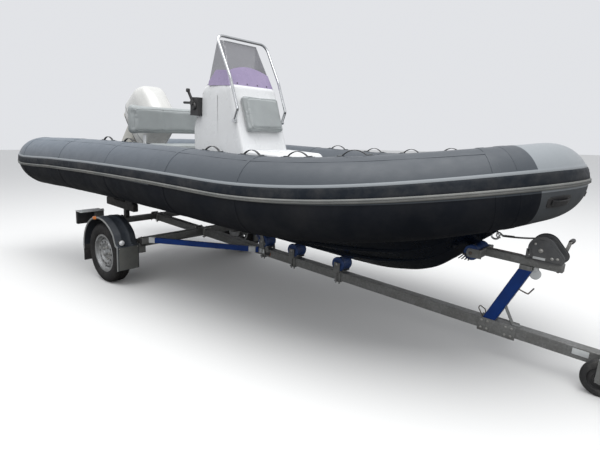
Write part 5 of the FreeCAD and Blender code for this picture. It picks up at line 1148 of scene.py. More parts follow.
# Bench cushion.
BENCH_AFT, BENCH_FORE, BENCH_HALF = -92.0, 240.0, 400.0
SEAT_LOW, SEAT_HIGH = 1260.3, 1320.0
bench = blown("bench_cushion", [rounded((BENCH_FORE - BENCH_AFT - 10, 2 * BENCH_HALF - 10,
                                         SEAT_HIGH - SEAT_LOW - 8), 20,
                                        ((BENCH_AFT + BENCH_FORE) / 2, 0,
                                         (SEAT_LOW + SEAT_HIGH) / 2 - 2), 5)], 7)
for y in (-130, 130):
    furrow(bench, parked((0, y, 1290)), PORT, 0.003, 0.006)
upholster(bench, "seat_cushion")
oblong = round_rect(BENCH_FORE - BENCH_AFT - 26, 2 * BENCH_HALF - 26, 0.2, 260)
piping("bench_piping", bench, np.stack([oblong[:, 0] + (BENCH_AFT + BENCH_FORE) / 2, oblong[:, 1],
                                        np.full(len(oblong), SEAT_HIGH + 6)], 1))

# Cushion on the console's front, leaning with it.
FRONT_FOOT, FRONT_HEAD = np.array((1214.0, 0, 1386.0)), np.array((1030.0, 0, 1886.0))
FRONT_UP = unit(FRONT_HEAD - FRONT_FOOT)
FRONT_OUT = np.array((FRONT_UP[2], 0, -FRONT_UP[0]))
PAD_HALF, PAD_HIGH, PAD_WALL = 215.0, 320.0, 68.0
pad_middle = FRONT_FOOT + FRONT_UP * ((1500 - 1386) / FRONT_UP[2]
                                      + PAD_HIGH / 2) + FRONT_OUT * (PAD_WALL / 2)
pad_axes = np.stack([FRONT_OUT, PORT, FRONT_UP])
pad = blown("front_pad", [moved(rounded((PAD_WALL - 6, 2 * PAD_HALF - 12, PAD_HIGH - 12), 27, (0, 0, 0), 6),
                                pad_axes, pad_middle)], 9, voxel=0.005)
upholster(pad, "console_cushion")
oblong = round_rect(2 * PAD_HALF - 34, PAD_HIGH - 34, 0.3, 200)
face = np.stack([np.full(len(oblong), PAD_WALL / 2 + 6), oblong[:, 0], oblong[:, 1]],
                1) @ pad_axes + pad_middle
piping("front_pad_piping", pad, face, 3.4)
oblong = round_rect(2 * PAD_HALF - 8, PAD_HIGH - 8, 0.3, 200)
foot_line = np.stack([np.full(len(oblong), -PAD_WALL / 2 + 9), oblong[:, 0], oblong[:, 1]],
                     1) @ pad_axes + pad_middle
piping("front_pad_welt", pad, foot_line, 3.4, "piping_pale")
print("cushions:", [(o.name, len(o.data.vertices)) for o in (back, bench, pad)])

# %% [markdown]
# Road wheels. A tyre is a ring: its side view is a profile turned about the axle, and
# the tread is cut into that surface. Four grooves run round it, and slanted cuts cross
# the ribs. The depth of each cut is a function of the place across and the angle round.

# %% Road tyres
GROOVES, GROOVE_HALF, GROOVE_DEEP = (-34.0, -12.0, 12.0, 34.0), 3.5, 6.5
PITCHES = 60


def tyre(side):
    """Ring of rubber: radius = profile(across) - grooves(across) - cuts(across, angle)."""
    wall = np.array([(54, 168.5), (54, 181.5), (64, 183.2), (70.5, 192), (75, 206), (77.3, 222),
                     (77.2, 238), (74.5, 252), (69.5, 266), (62.5, 276.5), (54.5, 282.5), (47.5, 285.2)])
    places = np.linspace(0, len(wall) - 1, 40)
    wall = np.stack([np.interp(places, np.arange(len(wall)), wall[:, k]) for k in (0, 1)], 1)
    edges = [c + d * GROOVE_HALF for c in GROOVES for d in (-1.0, -0.72, 0.72, 1.0)]
    tread = np.unique(np.round(edges + [-43, -40, -23, 0, 23, 40, 43], 3))
    across = np.concatenate([wall[:, 0], tread[::-1], -wall[::-1, 0]])
    radius = np.concatenate([wall[:, 1], 287 - 0.00085 * tread[::-1] ** 2, wall[::-1, 1]])
    inside = np.min(np.abs(across[:, None] - np.array(GROOVES)), axis=1)
    radius = radius - GROOVE_DEEP * ((inside < 0.9 * GROOVE_HALF) & (radius > 280))
    rings = 1.1 * np.exp(-((radius - 193) / 2.6) ** 2) + 0.7 * np.exp(-((radius - 256) / 2.0) ** 2)
    across = across + np.sign(across) * rings * (np.abs(across) > 58)
    share = np.array([0.0, 0.035, 0.17, 0.205, 0.6])
    turn = ((np.arange(PITCHES)[:, None] + share) / PITCHES * tau).ravel()
    cut = np.tile(np.array([0.0, 1.0, 1.0, 0.0, 0.0]), PITCHES)
    shoulder = np.interp(np.abs(across), (37, 39, 56, 66, 70), (0, 5.0, 5.0, 2.5, 0.0))
    rib = 3.5 * ((np.abs(across) > 15.6) & (np.abs(across) < 30.4))
    deep = np.where(radius > 262, np.maximum(shoulder, rib), 0.0)
    slant = 0.0016 * np.clip(across, -60, 60)
    angle = turn[None] + slant[:, None]
    reach = radius[:, None] - deep[:, None] * cut[None]
    points = np.stack([reach * np.sin(angle), np.broadcast_to(across[:, None], reach.shape),
                       reach * np.cos(angle)], axis=-1)
    return grid(points + (0, side * HALF_TRACK, WHEEL_RADIUS), around=True, along=True)


def wheel_details(side):
    """Five nuts, a domed hub cap and the valve, on the outer face of a rim."""
    face = side * (HALF_TRACK + 30)
    out = (0, side, 0)
    nuts = []
    for k in range(5):
        turn = radians(72 * k + 18)
        nuts += bolt((56 * sin(turn), face, WHEEL_RADIUS + 56 * cos(turn)), out, 10.5, 15)
    cap = turned(((26, 24.3), (28.5, 23.6), (31.5, 18), (33, 9), (33.3, 0.5)),
                 (0, face, WHEEL_RADIUS), out, 40)
    lip = turned(((0.2, 28), (2.5, 28), (3.2, 26.5), (3.2, 24)), (0, face, WHEEL_RADIUS), out, 40)
    valve = bar([(0, face - side * 6, WHEEL_RADIUS - 137), (0, face + side * 12, WHEEL_RADIUS - 136),
                 (0, face + side * 26, WHEEL_RADIUS - 132)], (5.5, 4.2, 3.4), 10, (1, 0, 0))
    return nuts, [cap, lip], [valve]


for label, side in (("left", 1), ("right", -1)):
    body = "wheel_" + label
    rubber = piece("tyre_tread_" + label, [tyre(side)], "tyre", body, "tyre_" + label, mend=True,
                   crease=32)
    nuts, cap, valve = wheel_details(side)
    piece("wheel_nuts_" + label, nuts, "zinc_bolt", body, mend=True, slot="rim_silver")
    piece("hub_cap_" + label, cap, "rim_silver", body, mend=True)
    piece("wheel_valve_" + label, valve, "black_rubber", body, mend=True, slot="tyre")
print("tyre faces:", len(rubber.data.polygons))

# %% [markdown]
# Fenders. Each is one pressed sheet: an arch over the wheel that runs down in front,
# makes a small shelf, and ends in an upright skirt. A path in the side view carries one
# section, which has two low ribs and edges turned down. The outer edge has a pale bead.

# %% Sections carried along a side view
def eased(path, step, reach, closed=False):
    """Path sampled evenly, its corners rounded by a running mean over a reach in mm."""
    path = np.asarray(path, float)
    if closed:
        path = np.concatenate([path, path[:1]])
    along = np.concatenate([[0], np.cumsum(np.linalg.norm(np.diff(path, axis=0), axis=1))])
    places = np.linspace(0, along[-1], max(int(along[-1] / step), 4) + 1)
    dense = np.stack([np.interp(places, along, column) for column in path.T], 1)
    half = max(int(reach / step / 2), 1)
    kernel = np.hanning(2 * half + 3)[1:-1]
    if closed:
        dense = dense[:-1]
        dense = np.concatenate([dense[-half:], dense, dense[:half]])
    else:
        dense = np.concatenate([2 * dense[0] - dense[half:0:-1], dense,
                                2 * dense[-1] - dense[-2:-half - 2:-1]])
    return np.stack([np.convolve(column, kernel / kernel.sum(), "valid") for column in dense.T], 1)


def pressed(path, section):
    """Closed section of (out, across) carried along a path of (along, up)."""
    way = unit(np.gradient(path, axis=0))
    out = np.stack([-way[:, 1], way[:, 0]], 1)
    spot = path[:, None] + out[:, None] * section[None, :, :1]
    across = np.broadcast_to(section[:, 1], spot.shape[:2])
    return grid(np.stack([spot[..., 0], across, spot[..., 1]], -1), around=True, caps=True)


# %% Fenders with their trim
ARCH_RADIUS, ARCH_MIDDLE = 343.0, 297.0
FENDER_IN, FENDER_OUT = 740.0, 950.0
SHELF, SKIRT_FOOT, SKIRT_AHEAD = 428.0, 196.0, 335.0
arch_turn = np.radians(np.linspace(186, 40, 60))
arch_path = np.stack([ARCH_RADIUS * np.cos(arch_turn), ARCH_MIDDLE + ARCH_RADIUS * np.sin(arch_turn)], 1)
fender_path = np.concatenate([arch_path, [(301, SHELF + 2), (SKIRT_AHEAD - 6, SHELF),
                                          (SKIRT_AHEAD, SHELF - 6), (SKIRT_AHEAD, SKIRT_FOOT)]])
fender_path = eased(fender_path, 5.0, 17.0)
rib_up = [(0, 786), (2.6, 790), (3.2, 797), (2.6, 804), (0, 808)]
fender_section = np.array(
    [(-15, FENDER_IN), (-3, FENDER_IN), (0, FENDER_IN + 3)] + rib_up
    + [(r, y + 84) for r, y in rib_up] + [(0, FENDER_OUT - 6), (-2, FENDER_OUT - 2), (-6, FENDER_OUT)]
    + [(-16, FENDER_OUT), (-16, FENDER_OUT - 3), (-7, FENDER_OUT - 4), (-4, FENDER_OUT - 8),
       (-4, FENDER_IN + 6), (-15, FENDER_IN + 3)], float)
bead_turn = np.linspace(0, tau, 14, endpoint=False)
bead_section = np.stack([-7.5 + 9.5 * np.cos(bead_turn), FENDER_OUT - 1 + 6.0 * np.sin(bead_turn)], 1)
skirt_path = eased([(SKIRT_AHEAD + 1.5, SHELF - 14), (SKIRT_AHEAD + 1.5, SKIRT_FOOT + 4)], 6.0, 8.0)
panel_section = np.array([(0, 748), (2.0, 752), (2.0, 934), (0, 938), (-3, 938), (-3, 748)], float)
# The fender shell's finish is its own dark grey, darkened further as painted shade from the boat over it.
coloured("fender_dark_and_shade", (0.032, 0.040, 0.052), (0.045, 0.052, 0.062), 6.0, (0.34, 0.52), grain=0.0004,
         grain_scale=800.0, dust=0.35, dust_colour=(0.10, 0.10, 0.10))
coloured("fender_edge", (0.26, 0.27, 0.27), (0.20, 0.21, 0.21), 12.0, (0.4, 0.6), grain=0.0005,
         grain_scale=800.0, dust=0.4)
coloured("fender_panel", (0.125, 0.130, 0.122), (0.095, 0.10, 0.095), 9.0, (0.4, 0.6), grain=0.0006,
         grain_scale=700.0, dust=0.5, dust_colour=(0.17, 0.16, 0.14))
for label, turn in (("left", lambda patch: patch), ("right", flipped)):
    piece("fender_shell_" + label, [turn(pressed(fender_path, fender_section))], "fender_dark_and_shade",
          replaces="fender_" + label, mend=True, slot="fender_grey", crease=50)
    piece("fender_bead_" + label, [turn(pressed(fender_path, bead_section))], "fender_edge", mend=True,
          slot="fender_grey")
    piece("fender_panel_" + label, [turn(pressed(skirt_path, panel_section))], "fender_panel",
          mend=True, slot="fender_grey")
flap_bolts = bolts([(-342.5, y, 286) for y in (765, 845, 925)], (-1, 0, 0), 6)
shell_bolts = bolts([(SKIRT_AHEAD + 2, y, SHELF - 22) for y in (756, 934)], (1, 0, 0), 5.5)
piece("fender_bolts", both_sides(flap_bolts + shell_bolts), "zinc_bolt", mend=True, slot="galvanised")
flap_x = -341.5
flap_ribs = [box((flap_x - 3.5, y, 146), (flap_x + 1, y + 5, 268), 2) for y in np.arange(756, 940, 14)]
piece("mud_flap_ribs", both_sides(flap_ribs), "black_rubber", mend=True)

# %% Lamps on the fenders
LAMP_Y, LAMP_Z = 908.0, 458.0
lamp_foot = 318.0
cup = turned(((-8, 15), (-8, 23), (10, 26.5), (15, 26.5), (16, 24.5)), (lamp_foot, LAMP_Y, LAMP_Z),
             (1, 0, 0), 36)
arm_under = box((lamp_foot - 6, LAMP_Y - 9, SHELF - 4), (lamp_foot + 12, LAMP_Y + 9, LAMP_Z - 12), 4)
dome = turned(((15, 25), (20, 24.6), (27, 21.5), (32, 15), (34.4, 7), (35, 0.6)),
              (lamp_foot, LAMP_Y, LAMP_Z), (1, 0, 0), 40)
piece("front_lamp_cups", both_sides([cup, arm_under]), "black_rubber", mend=True)
piece("front_lamp_domes", both_sides([dome]), "lamp_clear", replaces="front_lamps", mend=True)
MARKER_ANGLE = 103
marker_turn = radians(MARKER_ANGLE)
marker_place = np.array([ARCH_RADIUS * cos(marker_turn), 0, ARCH_MIDDLE + ARCH_RADIUS * sin(marker_turn)])
marker = rounded((64, 12, 30), 5, (0, 0, 0), 4)
tilt = radians(90 - MARKER_ANGLE)
lean = np.array([(cos(tilt), 0, -sin(tilt)), (0, 1, 0), (sin(tilt), 0, cos(tilt))])
amber = moved(marker, lean, marker_place + (0, FENDER_OUT + 4, -9))
foot_plate = moved(rounded((70, 6, 35), 3, (0, 0, 0), 3), lean, marker_place + (0, FENDER_OUT - 1, -9))
piece("side_markers", both_sides([amber]), "lens_amber", mend=True)
piece("side_marker_feet", both_sides([foot_plate]), "black_plastic", mend=True)
print("fender crown at", ARCH_MIDDLE + ARCH_RADIUS, "mm")

# %% [markdown]
# Trailer frame. The beams are folded or drawn steel with rounded corners, dipped in
# zinc. Copies of the plain nodes get rounded edges; where the real part differs more,
# such as the lamp carrier at the rear, it is made of rounded blocks instead.

# %% Beams and members
softened("spine", 5)
softened("axle", 5)
softened("side_bunks", 9)
softened("winch_post", 7)
softened("coupling_head", 9)
softened("roller_brackets", 1.5, steps=2)
softened("jockey_tube", 1.6, steps=2)
softened("jockey_leg", 1.4, steps=2)

SPINE_TOP, SPINE_LOW, SPINE_SIDE = 477.0, 405.0, 36.0
LAMP_FACE, LAMP_BACK = -573.0, -609.0
LAMP_IN, LAMP_OUT, LAMP_LOW, LAMP_TOP = 660.0, 900.0, 455.0, 590.0
front_arm = box((300, SPINE_SIDE + 0.3, 417), (360, 725, SPINE_TOP), 5)
front_plate = box((324, 668, 330), (330, 905, 424), 2)
front_hanger = box((322, 668, 390), (330, 722, 430), 2)
piece("front_member", both_sides([front_arm, front_plate, front_hanger]), "galvanised",
      replaces="cross_front_member", mend=True)
rear_arm = box((-565, SPINE_SIDE + 0.3, 417), (-505, 725, SPINE_TOP), 5)
fender_bar = box((-506, 695, 428), (-312, 770, 466), 4)
fender_foot = box((-318, 745, 400), (-312, 800, 470), 2)
lamp_hanger = box((LAMP_FACE, 622, 418), (-565, 724, LAMP_TOP + 3), 2.5)
lamp_shelf = box((LAMP_BACK - 2, LAMP_IN - 4, LAMP_TOP), (-480, LAMP_OUT + 4, LAMP_TOP + 5), 2)
piece("rear_member", both_sides([rear_arm, fender_bar, fender_foot, lamp_hanger]), "galvanised",
      replaces="cross_rear_member", mend=True)
coloured("shelf_zinc", (0.66, 0.68, 0.68), (0.56, 0.58, 0.58), 12.0, (0.4, 0.55), 0.0, grain=0.0004,
         grain_scale=300.0, dust=0.2)
piece("lamp_shelves", both_sides([lamp_shelf]), "shelf_zinc", mend=True, slot="galvanised")
bunk_post = [box((-560, 357, SPINE_TOP), (-510, 403, 566), 4),
             box((-575, 350, SPINE_TOP), (-495, 410, 484), 2)]
knob = turned(((0, 12), (2, 21), (26, 22), (33, 17), (35, 2)), (-470, 470, 500), (0.5, 0.3, 0.2), 24)
piece("bunk_posts", both_sides(bunk_post + [knob]), "black_steel", mend=True)
plugs = [box((300.5, 722, 419), (359.5, 729, 475), 4), box((-564.5, 722, 419), (-505.5, 729, 475), 4)]
spine_plug = [box((-606, -34, 407), (-596, 34, 475), 4)]
piece("beam_plugs", both_sides(plugs) + spine_plug, "black_plastic", mend=True)

# %% Rear lamps
lamp_case = box((LAMP_BACK, LAMP_IN, LAMP_LOW), (LAMP_FACE - 0.2, LAMP_OUT, LAMP_TOP - 0.3), 7)
piece("lamp_cases", both_sides([lamp_case]), "black_plastic", replaces="lamp_housings", mend=True)


def lens(start, stop, low=LAMP_LOW + 16, high=LAMP_TOP - 16, wall=11.0):
    """Moulded lens between two places across, on the back of its case."""
    return box((LAMP_BACK - wall, start, low), (LAMP_BACK + 2, stop, high), 4)


piece("lens_red_parts", both_sides([lens(676, 742), lens(745, 826)]), "lens_red",
      replaces="tail_lenses", mend=True)
piece("lens_amber_parts", both_sides([lens(829, 886)]), "lens_amber", mend=True)
ribs = [box((LAMP_BACK - 12.4, y, LAMP_LOW + 24), (LAMP_BACK - 9, y + 2.4, LAMP_TOP - 24), 1)
        for y in np.arange(750, 824, 7.5)]
piece("lens_ribs", both_sides(ribs), "lens_red", mend=True)
corner = np.radians((90, 210, 330))
triangle = np.stack([np.cos(corner), np.sin(corner)], 1)


def triangular(middle, size, wall):
    """Three-sided plate with rounded corners, facing aft."""
    edge = eased(triangle * size, 1.5, 14.0, closed=True)
    rows = [(0, 1.0), (-wall * 0.6, 1.0), (-wall, 0.94)]
    points = np.stack([np.stack([np.full(len(edge), middle[0] + out), middle[1] + edge[:, 0] * share,
                                 middle[2] + edge[:, 1] * share], 1) for out, share in rows])
    return grid(points, around=True, caps=True)


piece("rear_triangles", both_sides([triangular((-566, 560, 447), 38, 9)]), "lens_red", mend=True)
print("lamps across:", LAMP_OUT - LAMP_IN, "mm")

# %% [markdown]
# Braces and bolts. The blue braces are tubes flattened and bolted at both ends, so the
# ends are bare metal. U-bolts hold the cross members, the roller brackets and the foot
# of the winch post on the middle beam.

# %% Braces
BRACE_AFT, BRACE_FORE = np.array((360.0, 648, 455)), np.array((1222.0, 53, 455))
brace_way = unit(BRACE_FORE - BRACE_AFT)
brace_side = np.cross((0, 0, 1), brace_way)
brace_axes = np.stack([brace_way, brace_side, (0, 0, 1)])
brace_length = float(np.linalg.norm(BRACE_FORE - BRACE_AFT))
softened("side_brace_left", 4)
softened("side_brace_right", 4)


def brace_end(start, stop, width, high):
    """Sleeve of bare steel round the brace between two distances along it."""
    size = (stop - start, width, high)
    return moved(rounded(size, 4, (0, 0, 0)), brace_axes, BRACE_AFT + brace_way * (start + stop) / 2)


sleeves = [brace_end(0, 62, 30, 54), brace_end(brace_length - 92, brace_length - 26, 30, 54)]
brace_bolts = bolts([BRACE_AFT + brace_way * along - brace_side * 15
                     for along in (22, 46, brace_length - 74, brace_length - 44)], -brace_side, 6.5)
flange = box((1120, SPINE_SIDE + 0.2, 424), (1290, SPINE_SIDE + 6, 468), 2)
piece("brace_ends", both_sides(sleeves + [flange]), "shelf_zinc", mend=True, slot="galvanised")
piece("brace_bolts", both_sides(brace_bolts), "dark_steel", mend=True, slot="black_steel")


def clamp_over(x, width=SPINE_SIDE, high=SPINE_TOP, low=SPINE_LOW, rod=5.0):
    """U-bolt round the beam: two legs and a bend, with nuts under a plate."""
    reach = width + rod + 1
    path = eased([(-reach, low - 18), (-reach, high + rod + 1), (reach, high + rod + 1),
                  (reach, low - 18)], 4, 30)
    bend = bar(np.stack([np.full(len(path), x), path[:, 0], path[:, 1]], 1), rod, 12, (1, 0, 0))
    nuts = bolts([(x, side * reach, low - 6) for side in (-1, 1)], (0, 0, -1), 8.5)
    return [bend, box((x - 14, -reach - 14, low - 6), (x + 14, reach + 14, low - 0.5), 1.5)] + nuts


u_bolts = [patch for x in (258, 402, -470, -588) for patch in clamp_over(x)]
piece("beam_clamps", u_bolts, "zinc_bolt", mend=True, slot="galvanised")
member_bolts = bolts([(x, y, SPINE_TOP) for x in (312, 348, -553, -517) for y in (60, 700)], (0, 0, 1), 7)
hanger_bolts = bolts([(-573, 650, z) for z in (440, 470)], (-1, 0, 0), 6)
piece("member_bolts", both_sides(member_bolts + hanger_bolts), "dark_steel", mend=True,
      slot="black_steel")

# %% [markdown]
# Keel rollers. Each is a moulded spool: high ends, a narrower waist where the keel
# lies, and shallow ribs. It turns on a pin in a bent bracket. One profile turned about
# the pin gives the spool.

# %% Rollers
ROLLER_Z = 544.0
ROLLER_PLACES = (1275, 1641, 2122)


def spool(x):
    """Roller as a turned profile: radius falls from its ends to its waist."""
    across = np.linspace(-60, 60, 61)
    share = np.abs(across) / 60
    radius = 51.5 + 6.5 * np.clip((share - 0.25) / 0.55, 0, 1) ** 1.5
    radius = radius - 1.6 * (np.abs(np.mod(across + 4, 16) - 8) < 1.2) * (share < 0.75)
    radius = np.where(share > 0.94, radius - 72 * (share - 0.94), radius)
    profile = np.stack([across, radius], 1)
    ends = [[(-60, 36), (-56, 34), (-56, 15), (-60, 13), (-60, 9)],
            [(60, 9), (60, 13), (56, 15), (56, 34), (60, 36)]]
    return turned(np.concatenate([ends[0][::-1], profile, ends[1][::-1]]), (x, 0, ROLLER_Z), (0, 1, 0), 56)


piece("keel_spools", [spool(x) for x in ROLLER_PLACES], "roller_blue", replaces="keel_rollers",
      mend=True, crease=28)
pin_nuts = [patch for x in ROLLER_PLACES for side in (-1, 1)
            for patch in bolt((x, side * 72, ROLLER_Z), (0, side, 0), 9)]
clamp_nuts = bolts([(x + end, side * 42, 396) for x in ROLLER_PLACES for side in (-1, 1)
                    for end in (-17, 17)], (0, 0, -1), 8)
piece("roller_nuts", pin_nuts + clamp_nuts, "zinc_bolt", mend=True, slot="galvanised")
stay = strap([(1262, -68, 606), (1290, -68, 545), (1322, -46, 478), (1334, -43, 452)], 34, 6,
             (1, 0.2, 0.35))
piece("roller_stay", both_sides([stay]), "galvanised", mend=True)
gel_reflector = box((1297, SPINE_SIDE + 5.6, 423), (1361, SPINE_SIDE + 8.5, 453), 1.2)
piece("reflector_frames", both_sides([gel_reflector]), "black_plastic", mend=True)

# %% [markdown]
# Winch post. A blue channel leans forward from the beam. It is held by side plates and
# a flat strut, and carries the arm with the bow roller and the winch. The winch's two
# cheeks have the outline of two circles of different size with a belt round them.

# %% Saddle, strut and hooks
saddle = [box((3240, SPINE_SIDE + 0.3, 391), (3470, SPINE_SIDE + 6.3, 481), 2)]
piece("post_saddle", both_sides(saddle), "galvanised", replaces="winch_saddle", mend=True)
strut = strap([(3378, 0, 590), (3392, 0, 560), (3436, 0, 483), (3446, 0, 479), (3490, 0, 479)], 38, 6,
              (0, 1, 0))
hook_path = eased([(3425, -14, 722), (3452, -14, 712), (3496, -14, 700), (3523, -14, 744)], 3, 14)
hook = bar(hook_path, 4.2, 12, (0, 1, 0))
loop_path = eased([(3262, -22, 478), (3226, -22, 528), (3232, -14, 545), (3262, 6, 520),
                   (3270, 8, 478)], 3, 26)
ring_bar = bar(loop_path, 3.2, 10, (0.3, 1, 0))
piece("post_strut", [strut], "galvanised", mend=True)
piece("post_hooks", [hook, ring_bar], "dark_steel", mend=True, slot="black_steel")
saddle_bolts = bolts([(x, SPINE_SIDE + 6.3, z) for x in (3262, 3300, 3410, 3446) for z in (412, 462)],
                     (0, 1, 0), 7)
piece("saddle_bolts", both_sides(saddle_bolts), "zinc_bolt", mend=True, slot="galvanised")
plate_blank = box((3778, -SPINE_SIDE - 1.4, 431), (3862, -SPINE_SIDE, 467), 0.6)
piece("blank_plate", [plate_blank], "shelf_zinc", mend=True, slot="galvanised")
eyelet = turned(((-13, 10), (-13, 26), (-8, 31), (8, 31), (13, 26), (13, 10)), (3512, 6, 826),
                (0, 1, 0), 32)
piece("rope_eye", [eyelet, box((3500, -10, 846), (3524, 22, 876), 3)], "shelf_zinc", mend=True,
      slot="galvanised")

# %% Arm and bow roller
ARM_LOW, ARM_TOP = 875.0, 925.0
SNUB_X, SNUB_Z = 3152.0, 894.0
arm = [box((3206, -25, ARM_LOW), (3654, 25, ARM_TOP), 5), box((3424, -34, 846), (3496, 34, ARM_LOW), 3),
       box((3205, -112, ARM_LOW), (3219, 112, ARM_TOP), 3)]
cheek_way = eased([(3220, 868), (3132, 866), (3124, 894), (3132, 922), (3220, 924)], 3, 30)
cheek = np.concatenate([cheek_way, [(3220, 868)]])


def plate_of(outline, near, far, edge=1.2):
    """Flat plate: an outline of (along, up) between two faces across, edges eased."""
    middle = outline.mean(axis=0)
    rows = [(near, 0.985), (near + edge, 1.0), (far - edge, 1.0), (far, 0.985)]
    points = np.stack([np.stack([middle[0] + (outline[:, 0] - middle[0]) * share,
                                 np.full(len(outline), y),
                                 middle[1] + (outline[:, 1] - middle[1]) * share], 1)
                       for y, share in rows])
    return grid(points, around=True, caps=True)


cheeks = [plate_of(cheek[:-1], side * 105 - 3.5, side * 105 + 3.5) for side in (-1, 1)]
snub_pin = [turned(((-112, 8), (112, 8)), (SNUB_X, 0, SNUB_Z), (0, 1, 0), 20)]
snub_nuts = [patch for side in (-1, 1) for patch in bolt((SNUB_X, side * 109, SNUB_Z), (0, side, 0), 10)]
piece("arm_form", arm + cheeks + snub_pin, "galvanised", replaces="winch_arm", mend=True)
arm_bolts = bolts([(x, y, ARM_LOW - 0.5) for x in (3480, 3628) for y in (-14, 14)], (0, 0, -1), 7)
piece("arm_bolts", arm_bolts + snub_nuts, "dark_steel", mend=True, slot="black_steel")
across = np.linspace(-100, 100, 81)
vee = 26 + 22.5 * np.clip((np.abs(across) - 10) / 70, 0, 1) ** 1.15
vee = vee - 1.5 * (np.abs(np.mod(np.abs(across), 15) - 7.5) < 1.0) * (np.abs(across) < 84)
vee = np.where(np.abs(across) > 95, vee - (np.abs(across) - 95) * 0.9, vee)
vee_profile = np.concatenate([[(-100, 8.6)], np.stack([across, vee], 1), [(100, 8.6)]])
piece("bow_spool", [turned(vee_profile, (SNUB_X, 0, SNUB_Z), (0, 1, 0), 56)], "roller_blue",
      replaces="bow_roller", mend=True, crease=28)
fins = [strap([(3100 + 14 * k, -92, 880), (3058 + 21 * k, -92, 841)], 30, 5, (0, 1, 0)) for k in range(5)]
fin_bar = box((3092, -107, 876), (3166, -77, 883), 1.5)
piece("bow_fins", both_sides(fins + [fin_bar]), "black_rubber", mend=True)
red_line = box((3222, 18, ARM_TOP - 0.4), (3420, 23, ARM_TOP + 1.2), 0.5)
piece("arm_tape", [red_line], "chine_red", mend=True, slot="lens_red")

# %% Winch
WINCH_X, WINCH_Z = 3540.0, 992.0
big, small = np.array((3534.0, 994.0)), np.array((3622.0, 957.0))
BIG_RADIUS, SMALL_RADIUS = 76.0, 36.0


def belt_round(first, first_radius, second, second_radius, count=96):
    """Outline of two circles with a belt round them: in each direction, the farther one."""
    turn = np.linspace(0, tau, count, endpoint=False)
    way = np.stack([np.cos(turn), np.sin(turn)], 1)
    reach_first = way @ first + first_radius
    reach_second = way @ second + second_radius
    near = (reach_first > reach_second)[:, None]
    return np.where(near, first + way * first_radius, second + way * second_radius)


outline = belt_round(big, BIG_RADIUS, small, SMALL_RADIUS)
inner = belt_round(big, BIG_RADIUS - 20, small, SMALL_RADIUS - 13)
winch = [plate_of(outline, -51, -45), plate_of(inner, -55.5, -50), plate_of(outline, 45, 51),
         box((3456, -51, 925), (3648, 51, 931), 2), box((3452, -51, 925), (3470, -45, 985), 2)]
piece("winch_body", winch, "winch_grey", replaces="winch_frame", mend=True)
far_cheek = belt_round(big, BIG_RADIUS + 5, small, SMALL_RADIUS + 4)
piece("winch_far_cover", [plate_of(far_cheek, 51.5, 60)], "black_plastic", mend=True)
crank_foot, crank_end = np.array((3630, 64, 953.0)), np.array((3650, 70, 1046.0))
crank = [strap(np.linspace(crank_foot, crank_end, 8), 24, 6, (0, 0.01, 0.4) + np.array((1, 0, 0))),
         bar([(3649, 62, 1040), (3649, 84, 1040)], 6, 14, (0, 0, 1))]
grip = turned(((0, 9), (3, 13), (30, 14.5), (70, 13.5), (84, 11), (88, 3)), (3649, 82, 1040), (0, 1, 0), 24)
piece("winch_crank", crank, "zinc_bolt", mend=True, slot="galvanised")
piece("winch_grip", [grip], "black_plastic", mend=True)
winch_bolts = [patch for x, z, size in ((3530, 988, 11), (3594, 953, 8), (3622, 957, 7), (3496, 1022, 6))
               for patch in bolt((x, -55.5, z), (0, -1, 0), size)]
piece("winch_bolts", winch_bolts, "zinc_bolt", mend=True, slot="galvanised")
piece("winch_plate_blank", [box((3494, -57.2, 934), (3560, -55.2, 948), 0.6)], "shelf_zinc", mend=True,
      slot="galvanised")
layers = 62 + 1.2 * np.abs(np.sin(np.linspace(0, 9 * pi, 60)))
side_in = np.linspace(-24, 24, 60)
drum_profile = np.concatenate([[(-24, 13)], np.stack([side_in, layers], 1), [(24, 13)]])
strap_start, strap_stop = np.array((3522.0, 0, 1052)), np.array((3300.0, 0, 1018))
run = strap_start + (strap_stop - strap_start) * np.linspace(0, 1, 24)[:, None]
run[:, 2] -= 5 * np.sin(np.linspace(0, pi, 24))
sewn = run[-7:] + (0, 0, 3.6)
piece("winch_webbing", [turned(drum_profile, (WINCH_X, 0, WINCH_Z), (0, 1, 0), 64),
                        strap(run, 46, 3.4, (0, 1, 0)), strap(sewn, 42, 3.0, (0, 1, 0))],
      "black_webbing", replaces="winch_strap", mend=True, crease=60)
hook_line = eased([(3302, 0, 1018), (3290, 0, 1022), (3276, 0, 1034), (3262, 0, 1030), (3258, 0, 1012),
                   (3270, 0, 1000), (3284, 0, 1004)], 2, 10)
piece("snap_hook", [bar(hook_line, np.linspace(6.5, 3.6, len(hook_line)), 12, (0, 1, 0))], "stainless",
      mend=True)
print("winch outline points:", len(outline))

# %% [markdown]
# Nose of the trailer. The coupling has a moulded handle over its ball socket, and the
# jockey wheel is a solid rubber ring on a pressed hub, clamped beside the beam.

# %% Coupling and jockey wheel
handle_path = eased([(4262, 0, 516), (4300, 0, 524), (4400, 0, 520), (4432, 0, 512)], 6, 40)
lever = strap(handle_path, 30, 13, (0, 1, 0))
piece("coupling_grip", [lever], "black_plastic", mend=True, crease=50)
head_bolts = bolts([(x, 44, 450) for x in (4166, 4214)], (0, 1, 0), 8)
piece("coupling_bolts", both_sides(head_bolts), "zinc_bolt", mend=True, slot="galvanised")
JOCKEY = np.array((3942.0, -101.0, 371.0))
roll = np.array([(-28, 66), (-28, 84), (-25, 94), (-17, 99.6), (-8, 100.7), (0, 101), (8, 100.7),
                 (17, 99.6), (25, 94), (28, 84), (28, 66), (22, 62), (-22, 62)], float)


